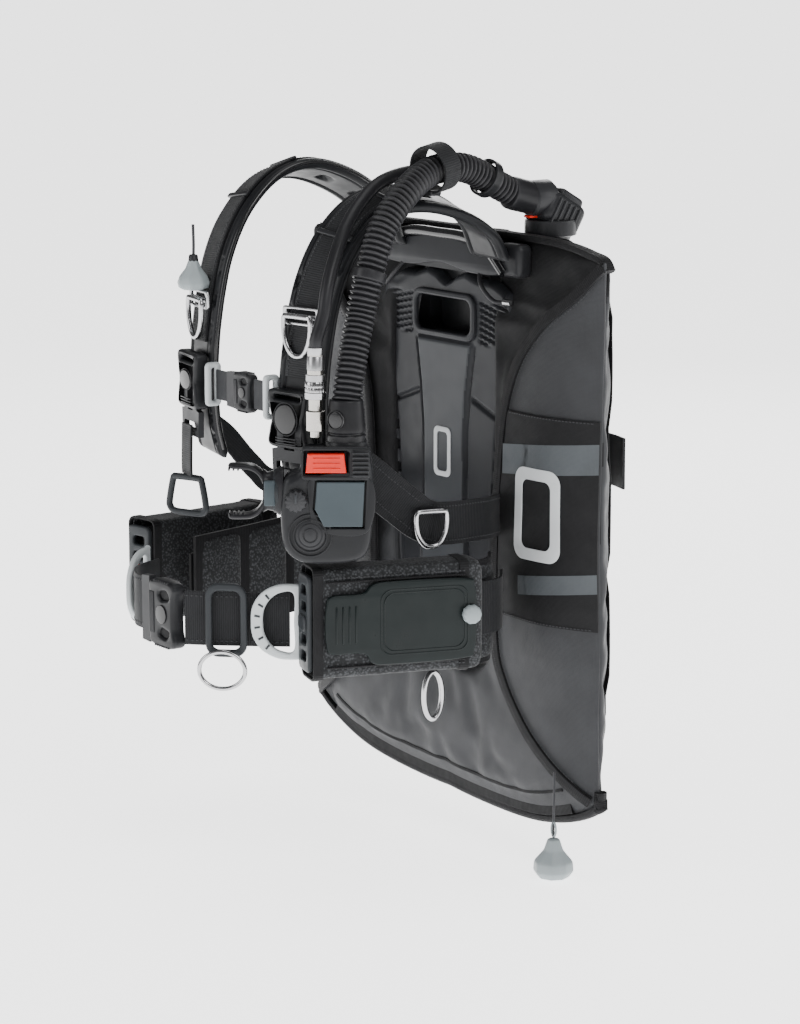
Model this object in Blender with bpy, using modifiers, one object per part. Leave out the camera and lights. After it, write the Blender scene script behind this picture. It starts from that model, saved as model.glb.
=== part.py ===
"""Back-inflation buoyancy compensator vest, modelled in metres, +Z up.

The wearer faces -Y, the wearer's left side is +X, and the tank stands behind at +Y.
The origin is the middle of the flat tank cradle on the rear of the backplate.
"""
import bpy
import bmesh
from math import cos, sin, pi, radians
from mathutils import Matrix, Vector

# Driving dimensions, in metres.
TOUCH_GAP = 0.0003
PLATE_HALF_WIDTH = 0.068
PLATE_THICKNESS = 0.016
YOKE_SIZE = (0.228, 0.014, 0.026)
YOKE_CENTRE = (0.0, -0.0250, 0.1880)
HANDLE_WINDOW = (0.046, 0.018)
HANDLE_Z = 0.128
HANDLE_FLOOR = 0.003
PAD_THICKNESS = 0.0145
WING_HALF_WIDTH = 0.233
WING_SAG = 0.024
WING_TOP = 0.203
WING_BOTTOM = -0.333
WING_FRONT = -0.034
WING_BEHIND_PAD = -0.0145
WING_BACK = 0.033
COVER_THICKNESS = 0.008
STRAP_MIDDLE_X = 0.084
STRAP_WIDTH = 0.060
STRAP_THICKNESS = 0.009
STRAP_LIFT = {"left": -0.008, "right": 0.008}
SIDE = {"left": 1.0, "right": -1.0}
HOSE_RADIUS = 0.0135
LP_HOSE_RADIUS = 0.006
WEBBING = 0.0024
BELT_HEIGHT = 0.050
BELT_Z = -0.122
BUCKLE_Y = -0.3480
CHEST_RING_Z = 0.150
STERNUM_Z = 0.074
STERNUM_Y = -0.262
BAND_HEIGHT = 0.050
BAND_Z = -0.012
POCKET_SIZE = (0.040, 0.158, 0.104)
POCKET_CENTRE = {"left": (0.153, -0.196, -0.118), "right": (-0.166, -0.196, -0.118)}
POCKET_TURN = {"left": radians(-17.0), "right": radians(8.0)}
INFLATOR_CENTRE = (0.1500, -0.2551, -0.004)
INFLATOR_TURN = radians(55.0)
SWING_PIVOT = (0.138, -0.222, 0.155)
RING_WIRE = 0.0025

OBJECT_NAME = "buoyancy_vest"


def new_collection(name):
    collection = bpy.data.collections.new(name)
    bpy.context.scene.collection.children.link(collection)
    return collection


def material(name, colour, roughness, metallic=0.0):
    made = bpy.data.materials.new(name)
    made.use_nodes = True
    shader = made.node_tree.nodes["Principled BSDF"]
    shader.inputs["Base Color"].default_value = (*colour, 1.0)
    shader.inputs["Roughness"].default_value = roughness
    shader.inputs["Metallic"].default_value = metallic
    return made


# ---------------------------------------------------------------- helpers

def place(name, data, look, location=(0, 0, 0), turn=(0, 0, 0), parent=None):
    """Link an object that holds the data to the part's collection."""
    made = bpy.data.objects.new(name, data)
    parts.objects.link(made)
    made.location = location
    made.rotation_euler = turn
    if look is not None:
        data.materials.append(look)
    if parent is not None:
        made.parent = parent
    return made


def pivot(name, location, turn=(0, 0, 0), parent=None):
    """An empty on a joint axis."""
    made = bpy.data.objects.new(name, None)
    parts.objects.link(made)
    made.location = location
    made.rotation_euler = turn
    made.parent = parent
    return made


def shade(data, angle=35.0):
    data.shade_smooth()
    data.set_sharp_from_angle(angle=radians(angle))


def bevelled(made, width, segments=2):
    edge = made.modifiers.new("rounded edges", "BEVEL")
    edge.width = width
    edge.segments = segments
    edge.limit_method = "ANGLE"
    edge.angle_limit = radians(40)
    return made


def box(name, size, centre, look, rounding=0.0, turn=(0, 0, 0), parent=None, segments=1):
    mesh = bpy.data.meshes.new(name)
    shape = bmesh.new()
    bmesh.ops.create_cube(shape, size=1.0, matrix=Matrix.Diagonal((*size, 1.0)))
    shape.to_mesh(mesh)
    shape.free()
    made = place(name, mesh, look, centre, turn, parent)
    if rounding:
        bevelled(made, rounding, segments)
    return made


def cylinder(name, radius, length, centre, look, turn=(0, 0, 0), parent=None, sides=20):
    """A cylinder along local Z."""
    mesh = bpy.data.meshes.new(name)
    shape = bmesh.new()
    bmesh.ops.create_cone(shape, cap_ends=True, segments=sides, radius1=radius,
                          radius2=radius, depth=length)
    shape.to_mesh(mesh)
    shape.free()
    shade(mesh)
    return place(name, mesh, look, centre, turn, parent)


def turned(name, profile, look, location, turn=(0, 0, 0), parent=None, steps=20):
    """A solid of revolution: the profile runs down its outer side, top to bottom."""
    mesh = bpy.data.meshes.new(name)
    mesh.from_pydata([(r, 0.0, z) for r, z in profile],
                     [(i, i + 1) for i in range(len(profile) - 1)], [])
    made = place(name, mesh, look, location, turn, parent)
    spin = made.modifiers.new("turned", "SCREW")
    spin.steps = steps
    spin.render_steps = steps
    spin.use_merge_vertices = True
    spin.merge_threshold = 0.00005
    mesh.shade_smooth()
    return made


def smooth_route(points, step):
    """Points about a step apart on a smooth curve through the route's own points."""
    knots = [Vector(p) for p in points]
    knots = [2 * knots[0] - knots[1]] + knots + [2 * knots[-1] - knots[-2]]
    route = []
    for a, b, c, d in zip(knots, knots[1:], knots[2:], knots[3:]):
        count = max(1, round((c - b).length / step))
        for i in range(count):
            t = i / count
            route.append(0.5 * (2 * b + (c - a) * t + (2 * a - 5 * b + 4 * c - d) * t * t
                                + (3 * b - a - 3 * c + d) * t ** 3))
    route.append(knots[-2])
    return route


def tube(name, points, radius, look, step=0.02, sides=2, parent=None, closed=False):
    """A round wire, cord or hose along a smooth route, or a closed wire loop."""
    route = [Vector(p) for p in points] if closed else smooth_route(points, step)
    curve = bpy.data.curves.new(name, "CURVE")
    curve.dimensions = "3D"
    curve.bevel_depth = radius
    curve.bevel_resolution = sides
    curve.use_fill_caps = True
    spline = curve.splines.new("POLY")
    spline.points.add(len(route) - 1)
    for point, place_at in zip(spline.points, route):
        point.co = (*place_at, 1.0)
    spline.use_cyclic_u = closed
    return place(name, curve, look, parent=parent)


def plate(name, outlines, thickness, look, location, turn=(pi / 2, 0, 0), rounding=0.0,
          parent=None):
    """A flat outline, drawn in X and Z, with the thickness along Y; later outlines are holes."""
    curve = bpy.data.curves.new(name, "CURVE")
    curve.dimensions = "2D"
    curve.fill_mode = "BOTH"
    curve.extrude = thickness / 2 - rounding
    curve.bevel_depth = rounding
    curve.bevel_resolution = 1 if rounding else 0
    curve.offset = -rounding
    for outline in outlines:
        spline = curve.splines.new("POLY")
        spline.points.add(len(outline) - 1)
        for point, (x, z) in zip(spline.points, outline):
            point.co = (x, z, 0.0, 1.0)
        spline.use_cyclic_u = True
    drawn = place(name, curve, look, location, turn, parent)
    return meshed(drawn)


def meshed(drawn):
    """Turn a curve object into a mesh object with its caps welded on."""
    bpy.context.view_layer.update()
    graph = bpy.context.evaluated_depsgraph_get()
    mesh = bpy.data.meshes.new_from_object(drawn.evaluated_get(graph))
    shape = bmesh.new()
    shape.from_mesh(mesh)
    bmesh.ops.remove_doubles(shape, verts=shape.verts, dist=0.00001)
    shape.to_mesh(mesh)
    shape.free()
    name = drawn.name
    world = drawn.matrix_world.copy()
    parent = drawn.parent
    bpy.data.objects.remove(drawn)
    made = place(name, mesh, None)
    made.parent = parent
    if parent is not None:
        made.matrix_parent_inverse = parent.matrix_world.inverted()
    made.matrix_basis = world
    return made


def strip(name, rail, thickness, look, closed=False):
    """A flat band: the rail lists the two edge points at each station along it."""
    mesh = bpy.data.meshes.new(name)
    shape = bmesh.new()
    pairs = [(shape.verts.new(a), shape.verts.new(b)) for a, b in rail]
    stations = list(zip(pairs, pairs[1:] + (pairs[:1] if closed else [])))
    for (a, b), (c, d) in stations[:len(pairs) if closed else len(pairs) - 1]:
        shape.faces.new((a, c, d, b))
    shape.to_mesh(mesh)
    shape.free()
    made = place(name, mesh, look)
    skin = made.modifiers.new("thickness", "SOLIDIFY")
    skin.thickness = thickness
    skin.offset = 0.0
    skin.use_even_offset = True
    return made


def loft(name, loops, look):
    """A ring-shaped body through closed loops that all have the same number of points."""
    mesh = bpy.data.meshes.new(name)
    shape = bmesh.new()
    rings = [[shape.verts.new(p) for p in loop] for loop in loops]
    for here, there in zip(rings, rings[1:] + rings[:1]):
        for i in range(len(here)):
            j = (i + 1) % len(here)
            shape.faces.new((here[i], here[j], there[j], there[i]))
    bmesh.ops.recalc_face_normals(shape, faces=shape.faces)
    shape.to_mesh(mesh)
    shape.free()
    return place(name, mesh, look)


def upright_band(name, points, height, thickness, look, step=0.02, closed=False):
    """Webbing that stands on edge and follows a route seen from above."""
    route = points if closed else smooth_route(points, step)
    half = Vector((0, 0, height / 2))
    rail = [(Vector(p) - half, Vector(p) + half) for p in route]
    return strip(name, rail, thickness, look, closed)


def cutter(made):
    """Move a shape to the cutters' collection."""
    parts.objects.unlink(made)
    cutters.objects.link(made)
    made.hide_render = True
    made.display_type = "WIRE"
    return made


def boolean(made, other, operation="DIFFERENCE"):
    step = made.modifiers.new(operation.lower(), "BOOLEAN")
    step.operation = operation
    step.solver = "EXACT"
    step.object = cutter(other)
    return made


def mirrored(points, side):
    return [(x * SIDE[side], y, z) for x, y, z in points]


def rounded_rectangle(half_x, half_z, radius, steps=3, middle=(0.0, 0.0)):
    outline = []
    for corner in range(4):
        cx = (half_x - radius) * (1 if corner in (0, 3) else -1)
        cz = (half_z - radius) * (1 if corner in (0, 1) else -1)
        for i in range(steps + 1):
            angle = corner * pi / 2 + i / steps * pi / 2
            outline.append((middle[0] + cx + radius * cos(angle),
                            middle[1] + cz + radius * sin(angle)))
    return outline


def d_loop(width, height, steps=9):
    """A D-ring outline in X and Z: the straight bar is at the top, at z = 0."""
    points = [(-width / 2, 0.0, 0.0), (width / 2, 0.0, 0.0)]
    drop = height * 0.30
    for i in range(steps + 1):
        angle = -i / steps * pi
        points.append((width / 2 * cos(angle), 0.0, -drop + (height - drop) * sin(angle)))
    return points


# ---------------------------------------------------------------- back and wing

def make_backplate():
    half = [(0.050, 0.178), (0.056, 0.150), (PLATE_HALF_WIDTH, 0.108),
            (PLATE_HALF_WIDTH, -0.180), (0.050, -0.200)]
    outline = half + [(-x, z) for x, z in reversed(half)]
    window = rounded_rectangle(0.044, HANDLE_WINDOW[1], 0.010, middle=(0.0, HANDLE_Z))
    plate_made = plate("backplate", [outline], PLATE_THICKNESS, polymer,
                       (0, -PLATE_THICKNESS / 2, 0))
    recess_depth = PLATE_THICKNESS - HANDLE_FLOOR + 0.001
    boolean(plate_made, plate("handle_recess", [window], recess_depth, None,
                              (0, -HANDLE_FLOOR - recess_depth / 2, 0)))
    tunnel = box("band_tunnel", (0.2, 0.0050, BAND_HEIGHT + 0.004), (0, -0.0095, BAND_Z), None)
    boolean(plate_made, tunnel)
    yoke = box("yoke", YOKE_SIZE, YOKE_CENTRE, None)
    neck = box("yoke_neck", (0.096, 0.022, 0.008), (0, -0.0190, 0.1750), None)
    boolean(plate_made, yoke, "UNION")
    return boolean(plate_made, neck, "UNION")


def pad_outline():
    """Left half from the top middle down, then its mirror image."""
    half = [(0.010, 0.160), (0.030, 0.170), (0.050, 0.160), (0.088, 0.158), (0.105, 0.138),
            (0.096, 0.080), (0.087, 0.020), (0.082, -0.040), (0.080, -0.110), (0.070, -0.165),
            (0.045, -0.190)]
    return half + [(-x, z) for x, z in reversed(half)]


def make_back_pad():
    pad_y = -PLATE_THICKNESS - TOUCH_GAP - PAD_THICKNESS / 2
    window = rounded_rectangle(*HANDLE_WINDOW, 0.010, middle=(0.0, HANDLE_Z))
    return plate("back_pad", [pad_outline(), window], PAD_THICKNESS, gel,
                 (0, pad_y, 0), rounding=0.004)


def both_halves(half):
    return half + [(-x, z) for x, z in reversed(half)]


def wing_front(z):
    """The air cell's front lies behind the yoke at the top and level with the pad below."""
    t = min(1.0, max(0.0, (0.178 - z) / 0.050))
    return WING_BEHIND_PAD + (WING_FRONT - WING_BEHIND_PAD) * t * t * (3 - 2 * t)


def sag(x, z):
    """The left lobe carries the lower dump and hangs a little below the right one."""
    return WING_SAG * max(0.0, x / WING_HALF_WIDTH) * min(1.0, max(0.0, -(z + 0.18) / 0.10))


def make_wing():
    """The horseshoe air cell: thin at its bound rim and thickest beside the backplate."""
    wide = WING_HALF_WIDTH
    outer = both_halves([(0.080, WING_TOP + 0.006), (0.160, WING_TOP + 0.003),
                         (0.205, WING_TOP - 0.003), (0.226, WING_TOP - 0.015), (wide, 0.150),
                         (wide, -0.080), (wide + 0.002, -0.268), (0.226, -0.294),
                         (0.150, -0.322), (0.050, WING_BOTTOM)])
    outer = [(x, z - sag(x, z)) for x, z in outer]
    hole = both_halves([(0.025, 0.182), (0.050, 0.182), (0.058, 0.176), (0.066, 0.150),
                        (0.077, 0.112), (0.077, -0.060), (0.077, -0.150), (0.072, -0.184),
                        (0.056, -0.204), (0.022, -0.208)])
    round_pad = both_halves([(0.025, 0.183), (0.060, 0.183), (0.094, 0.174), (0.110, 0.152),
                             (0.107, 0.105), (0.093, 0.000), (0.089, -0.110), (0.079, -0.174),
                             (0.057, -0.200), (0.022, -0.204)])
    loops = [[(x * 0.965, wing_front(z), z * 0.985) for x, z in outer],
             [(x, wing_front(z) + 0.008, z) for x, z in outer],
             [(x, -0.012, z) for x, z in outer],
             [(x * 0.84, 0.016, z * 0.99) for x, z in outer],
             [(x * 0.68, WING_BACK, z * 0.97) for x, z in outer],
             [(x, WING_BACK, z) for x, z in hole],
             [(x, WING_BEHIND_PAD, z) for x, z in hole],
             [(x, WING_BEHIND_PAD + 0.0002, z) for x, z in round_pad],
             [(x * 1.01, wing_front(z) - 0.0003, z) for x, z in round_pad]]
    return loft("air_cell", loops, coated_nylon)


def make_wing_cover(side):
    """The outer lobe of the wing, whose bound front edge curves in towards the harness."""
    edge = [(0.222, 0.165), (0.190, 0.150), (0.150, 0.124), (0.123, 0.092), (0.108, 0.045),
            (0.100, -0.020), (0.097, -0.095), (0.099, -0.172), (0.112, -0.212),
            (0.140, -0.246), (0.180, -0.270), (0.222, -0.284)]
    outline = [(x * SIDE[side], z - sag(x * SIDE[side], z)) for x, z in edge]
    y = WING_FRONT - TOUCH_GAP - COVER_THICKNESS / 2
    return plate("wing_cover_" + side, [outline], COVER_THICKNESS, coated_nylon,
                 (0, y - 0.0002, 0), rounding=0.002)


# ---------------------------------------------------------------- shoulder harness

def strap_stations(side):
    """Centre and across direction down one shoulder strap, from the yoke to its lower end."""
    lift = STRAP_LIFT[side]
    centre = [(-0.0392, 0.190), (-0.056, 0.222), (-0.092, 0.246), (-0.138, 0.258),
              (-0.178, 0.250), (-0.210, 0.222), (-0.231, 0.182), (-0.243, 0.130),
              (-0.248, 0.078), (-0.246, 0.030), (-0.238, -0.004)]
    tilt = [(0.0, 0.12), (0.0, 0.22), (0.0, 0.28), (0.0, 0.28), (0.05, 0.24), (0.12, 0.18),
            (0.17, 0.10), (0.19, 0.05), (0.20, 0.0), (0.20, 0.0), (0.20, 0.0)]
    stations = []
    for i, ((y, z), (back, drop)) in enumerate(zip(centre, tilt)):
        fade = min(1.0, i / 3)
        across = Vector((SIDE[side], back, -drop)).normalized()
        stations.append((Vector((STRAP_MIDDLE_X * SIDE[side], y, z + lift * fade)), across))
    return stations


def make_strap(side):
    stations = strap_stations(side)
    middles = smooth_route([p for p, _ in stations], 0.018)
    edges = smooth_route([p + a * STRAP_WIDTH / 2 for p, a in stations], 0.018)
    count = min(len(middles), len(edges))
    rail = []
    for i in range(count):
        middle = middles[round(i * (len(middles) - 1) / (count - 1))]
        edge = edges[round(i * (len(edges) - 1) / (count - 1))]
        rail.append((2 * middle - edge, edge) if side == "right" else (edge, 2 * middle - edge))
    return strip("shoulder_strap_" + side, rail, STRAP_THICKNESS, gel)


def strap_point(side, z, forward):
    """A point in front of the strap at a height on its straight chest run."""
    levels = [(0.182, -0.231), (0.130, -0.243), (0.078, -0.248), (0.030, -0.246), (-0.004, -0.238)]
    height = z - STRAP_LIFT[side]
    for (z1, y1), (z2, y2) in zip(levels, levels[1:]):
        if height >= z2:
            break
    y = y1 + (y2 - y1) * (height - z1) / (z2 - z1)
    return Vector((STRAP_MIDDLE_X * SIDE[side], y - forward, z))


def make_chest_slide(side):
    """The steel slide that carries the chest D-ring."""
    centre = strap_point(side, CHEST_RING_Z, 0.0115)
    turn = (0, 0, radians(11) * SIDE[side])
    bar = box("chest_slide_" + side, (0.046, 0.0035, 0.013), centre, steel, 0.001, turn)
    return bar


def make_chest_ring(side):
    slide = strap_point(side, CHEST_RING_Z, 0.0175)
    hinge = pivot("chest_ring_pivot_" + side, slide, (0, 0, radians(11) * SIDE[side]))
    return tube("chest_ring_" + side, d_loop(0.034, 0.036), RING_WIRE, steel, closed=True,
                parent=hinge)


def make_shoulder_buckle(side):
    """Female shell and male tongue of the shoulder release; the tongue pulls out downwards."""
    lift = STRAP_LIFT[side]
    top = strap_point(side, 0.066 + lift, 0.0135)
    turn = (0, 0, radians(11) * SIDE[side])
    shell = box("shoulder_buckle_" + side, (0.046, 0.014, 0.052), top, polymer, 0.004, turn)
    cavity = box("shoulder_cavity_" + side, (0.034, 0.0075, 0.040), top + Vector((0, 0, -0.014)),
                 None, 0.0, turn)
    boolean(shell, cavity)
    base = pivot("shoulder_tongue_pivot_" + side, top + Vector((0, 0, -0.022)), turn)
    profile = [(-0.0155, 0.020), (-0.0085, 0.022), (-0.0065, -0.006), (0.0065, -0.006),
               (0.0085, 0.022), (0.0155, 0.020), (0.0155, -0.005), (0.022, -0.006),
               (0.021, -0.030), (-0.021, -0.030), (-0.022, -0.006), (-0.0155, -0.005)]
    slot = rounded_rectangle(0.0165, 0.0035, 0.002, 2, (0.0, -0.020))
    return plate("shoulder_tongue_" + side, [profile, slot], 0.0055, polymer, (0, 0, 0),
                 parent=base)


def lower_ring_centre(side):
    return Vector((STRAP_MIDDLE_X * SIDE[side], -0.268, -0.026 + STRAP_LIFT[side]))


def make_pull_ring(side):
    """The dark plastic pull ring below the shoulder release."""
    hinge = pivot("pull_ring_pivot_" + side, lower_ring_centre(side), (0, 0, radians(20)))
    points = [(-0.016, 0, 0), (0.016, 0, 0), (0.0225, 0, -0.026), (0.016, 0, -0.033),
              (-0.016, 0, -0.033), (-0.0225, 0, -0.026)]
    return tube("pull_ring_" + side, points, 0.0032, grey_polymer, closed=True, parent=hinge)


def make_lower_webbing(side):
    """Webbing from the lower strap end back to the side of the backplate."""
    route = [(0.0975, -0.2330, 0.028), (0.110, -0.2050, 0.010), (0.124, -0.1700, -0.022),
             (0.131, -0.1400, -0.042), (0.124, -0.0800, -0.046), (0.108, -0.0465, -0.048)]
    width = 0.040 if side == "left" else 0.024
    return upright_band("lower_webbing_" + side, mirrored(route, side), width, WEBBING, webbing)


def make_lower_ring(side):
    """The steel D-ring that hangs on the lower webbing."""
    hinge = pivot("lower_ring_pivot_" + side, (0.1385 * SIDE[side], -0.145, -0.0300),
                  (0, 0, radians(78)))
    return tube("lower_ring_" + side, d_loop(0.030, 0.0325), RING_WIRE, steel, closed=True,
                parent=hinge)


def make_shoulder_pull():
    """The right shoulder's dump knob on its short cord."""
    at = strap_point("right", 0.1735, 0.024)
    base = pivot("shoulder_pull_pivot", at)
    profile = [(0.0, 0.013), (0.0045, 0.012), (0.007, 0.005), (0.014, -0.004),
               (0.0145, -0.011), (0.011, -0.014), (0.0, -0.014)]
    knob = turned("shoulder_knob", profile, light_grey, (0, 0, 0), parent=base, steps=8)
    cord = tube("shoulder_cord", [(0, 0, 0.008), (0.001, 0.002, 0.028), (0, 0.009, 0.046)],
                0.0014, None, step=0.006, sides=1, parent=base)
    return boolean(knob, meshed(cord), "UNION")


# ---------------------------------------------------------------- sternum strap

def make_sternum():
    for side, inner, outer, back in (("left", 0.026, 0.046, 0.0), ("right", 0.006, 0.046, 0.0045)):
        x1 = inner * SIDE[side]
        x2 = outer * SIDE[side]
        y = STERNUM_Y + back
        route = [(x1, y, STERNUM_Z), ((x1 + x2) / 2, y, STERNUM_Z), (x2, y, STERNUM_Z)]
        upright_band("sternum_webbing_" + side, route, 0.028, WEBBING, webbing)
        box("sternum_slide_" + side, (0.006, 0.016, 0.040),
            (0.0497 * SIDE[side], STERNUM_Y + 0.002, STERNUM_Z), light_grey, 0.002)
    shell = box("sternum_buckle", (0.028, 0.012, 0.036), (0.0105, STERNUM_Y, STERNUM_Z),
                polymer, 0.003)
    cavity = box("sternum_cavity", (0.026, 0.0062, 0.026), (0.0065, STERNUM_Y, STERNUM_Z), None)
    boolean(shell, cavity)
    base = pivot("sternum_tongue_pivot", (-0.004, STERNUM_Y, STERNUM_Z))
    profile = [(-0.015, -0.016), (-0.001, -0.017), (-0.001, -0.0115), (0.019, -0.0115),
               (0.019, -0.006), (0.004, -0.005), (0.004, 0.005), (0.019, 0.006),
               (0.019, 0.0115), (-0.001, 0.0115), (-0.001, 0.017), (-0.015, 0.016)]
    plate("sternum_tongue", [profile], 0.0045, polymer, (0, 0, 0), parent=base)


# ---------------------------------------------------------------- hoses and valves

def make_elbow():
    """The shoulder valve: a flange on the air cell and an angled body with the hose cuff."""
    body = box("shoulder_elbow", (0.036, 0.046, 0.034), (0.100, 0.026, WING_TOP + 0.0370),
               polymer, 0.008, segments=2)
    flange = cylinder("valve_flange", 0.024, 0.018, (0.100, 0.020, WING_TOP + 0.0160), None)
    return boolean(body, flange, "UNION")


def make_hoses():
    upper = [(0.100, 0.0010, 0.2450), (0.100, -0.013, 0.2462), (0.101, -0.038, 0.2555),
             (0.105, -0.079, 0.2745), (0.109, -0.109, 0.2780), (0.115, -0.136, 0.2735),
             (0.1250, -0.1660, 0.2575), (0.1310, -0.1915, 0.2325), (0.1350, -0.2065, 0.2030),
             (0.1370, -0.2165, 0.1740), (0.1378, -0.2212, 0.1595)]
    tube("hose_upper", upper, HOSE_RADIUS, rubber, step=0.016, sides=3)
    swing = pivot("swing_pivot", SWING_PIVOT)
    lower = [(0.0, 0.0, -0.0040), (0.0045, -0.010, -0.028), (0.009, -0.018, -0.054),
             (0.0120, -0.024, -0.0840)]
    bellows = tube("bellows", lower, HOSE_RADIUS, None, step=0.016, sides=3, parent=swing)
    cuff = [(0.0, 0.018), (0.0145, 0.018), (0.0160, 0.008), (0.0165, -0.010),
            (0.0170, -0.018), (0.0, -0.018)]
    lower_hose = turned("hose_lower", cuff, rubber, (0.0120, -0.0240, -0.0925), parent=swing)
    boolean(lower_hose, meshed(bellows), "UNION")
    return swing


def make_low_pressure_hose(swing):
    """The direct-feed hose: over the shoulder, then hanging free behind the air cell."""
    route = [(0.1300, -0.2560, 0.1575), (0.1275, -0.2515, 0.1750), (0.1210, -0.2406, 0.1980),
             (0.1100, -0.2205, 0.2270), (0.0975, -0.1940, 0.2500), (0.0880, -0.1660, 0.2660),
             (0.0780, -0.1250, 0.2730), (0.0690, -0.0780, 0.2700), (0.0610, -0.0300, 0.2600),
             (0.0510, 0.0200, 0.2520), (0.0380, 0.0620, 0.2400), (0.0220, 0.0860, 0.2080),
             (0.0100, 0.0900, 0.1600), (0.0040, 0.0880, 0.1100)]
    tube("feed_hose", route, LP_HOSE_RADIUS, rubber, step=0.016, sides=2)
    turned("feed_fitting", [(0.0, 0.012), (0.0078, 0.012), (0.0078, -0.002), (0.0055, -0.003),
                            (0.0055, -0.012), (0.0, -0.012)], steel, (0.0037, 0.0879, 0.0960),
           steps=16)
    end = [(-0.008, -0.034, -0.0010), (-0.0078, -0.0388, -0.0110), (-0.0067, -0.0434, -0.0205),
           (-0.0066, -0.0438, -0.0270)]
    tube("feed_hose_end", end, LP_HOSE_RADIUS, rubber, step=0.010, sides=2, parent=swing)


def make_quick_disconnect(swing):
    """The inlet barrel with the hose ferrule, and the knurled release sleeve that slides on it."""
    x, y = -0.0066, -0.0438
    barrel = [(0.0, 0.0480), (0.0070, 0.0480), (0.0075, 0.0260), (0.0062, 0.0250),
              (0.0062, -0.0060), (0.0085, -0.0070), (0.0085, -0.0240), (0.0050, -0.0250),
              (0.0050, -0.0300), (0.0, -0.0300)]
    turned("feed_barrel", barrel, brass, (x, y, -0.0760), parent=swing, steps=16)
    sleeve = [(0.0066, 0.0080), (0.0095, 0.0080), (0.0095, -0.0080), (0.0066, -0.0080),
              (0.0066, 0.0080)]
    base = pivot("sleeve_pivot", (x, y, -0.0640), parent=swing)
    turned("feed_sleeve", sleeve, steel, (0, 0, 0), parent=base, steps=16)


def make_inflator(swing):
    """The combined inflator and second stage, in its own frame: it faces local -Y."""
    offset = Vector(INFLATOR_CENTRE) - Vector(SWING_PIVOT)
    frame = pivot("inflator_frame", offset, (0, 0, INFLATOR_TURN), parent=swing)
    half_depth = 0.021
    outline = [(-0.031, 0.046), (0.028, 0.046), (0.031, 0.020), (0.030, -0.030),
               (0.024, -0.050), (0.006, -0.056), (-0.030, -0.056), (-0.046, -0.046),
               (-0.050, -0.022), (-0.047, 0.022), (-0.032, 0.028)]
    body = plate("inflator_body", [outline], 2 * half_depth, polymer, (0, 0, 0),
                 rounding=0.005, parent=frame)
    front = -half_depth

    button_outline = [(-0.028, 0.026), (0.008, 0.026), (0.006, 0.043), (-0.026, 0.043)]
    button_base = pivot("inflate_button_pivot", (0, front + 0.001, 0), parent=frame)
    well = rounded_rectangle(0.0190, 0.0100, 0.002, 2, (-0.0100, 0.0345))
    boolean(body, plate("inflate_well", [well], 0.020, None, (0, front, 0), parent=frame))
    plate("inflate_button", [button_outline], 0.008, red_polymer, (0, 0, 0), rounding=0.001,
          parent=button_base)

    purge_outline = [(-0.012, -0.022), (0.022, -0.022), (0.024, 0.018), (-0.018, 0.018),
                     (-0.020, -0.006)]
    purge_base = pivot("purge_button_pivot", (0, front + 0.001, 0), parent=frame)
    purge_well = [(-0.0125, -0.0230), (0.0230, -0.0230), (0.0250, 0.0190), (-0.0190, 0.0190),
                  (-0.0212, -0.0062)]
    boolean(body, plate("purge_well", [purge_well], 0.020, None, (0, front, 0), parent=frame))
    plate("purge_button", [purge_outline], 0.008, grey_polymer, (0, 0, 0), rounding=0.001,
          parent=purge_base)

    boolean(body, box("exhaust_cover", (0.015, 0.010, 0.022), (0.0200, front, 0.0340), None,
                      parent=frame), "UNION")
    knob_base = pivot("breathing_knob_pivot", (-0.0365, front - 0.0048, 0.0015), parent=frame)
    cylinder("breathing_knob", 0.0095, 0.0085, (0, 0, 0), polymer, (pi / 2, 0, 0), knob_base, 16)
    return frame


def make_mouthpiece(frame):
    """The neck and the bite plate that face forwards from the second stage."""
    neck_z = 0.006
    neck = box("mouthpiece", (0.016, 0.026, 0.036), (-0.0585, 0.002, neck_z), rubber, 0.004,
               parent=frame)
    half_turn = [radians(90 - i * 22.5) for i in range(9)]
    shield = [(-0.080 + 0.020 * cos(a), 0.024 * sin(a)) for a in half_turn]
    bite = [(-0.097, -0.022), (-0.097, -0.015)]
    inner = [(-0.080 + 0.012 * cos(a), 0.016 * sin(a)) for a in reversed(half_turn)]
    tabs = plate("bite_plate", [shield + bite + inner + [(-0.097, 0.015), (-0.097, 0.022)]],
                 0.018, None, (0, 0.002, neck_z), parent=frame)
    boolean(neck, tabs, "UNION")
    return neck


def make_retainers():
    """The flat strap and the round clip that hold the hose to the left shoulder."""
    loops = {"hose_strap": ((0.1120, -0.1225, 0.2785), (0.22, -0.96, -0.16), 0.0205, 0.016),
             "hose_clip": ((0.1030, -0.0585, 0.2655), (0.09, -0.90, 0.42), 0.0178, 0.008)}
    for name, (centre, along, radius, width) in loops.items():
        ring = [(radius, width / 2), (radius, -width / 2), (radius - 0.0022, -width / 2),
                (radius - 0.0022, width / 2), (radius, width / 2)]
        turned(name, ring, webbing, centre, Vector(along).to_track_quat("Z", "Y").to_euler())


# ---------------------------------------------------------------- waist

def belt_route(side):
    """The belt seen from above, from beside the buckle round to the backplate."""
    fronts = {"left": [(0.0340, -0.3440), (0.0540, -0.3240), (0.0760, -0.2980), (0.0970, -0.2720)],
              "right": [(0.0160, -0.3400), (0.0400, -0.3400), (0.0640, -0.3370), (0.0910, -0.3180),
                        (0.1070, -0.2870)]}
    behind = [(0.1105, -0.2500), (0.1315, -0.1800), (0.1520, -0.1130), (0.1500, -0.0780),
              (0.1200, -0.0520)]
    return [(x * SIDE[side], y, BELT_Z) for x, y in fronts[side] + behind]


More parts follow.
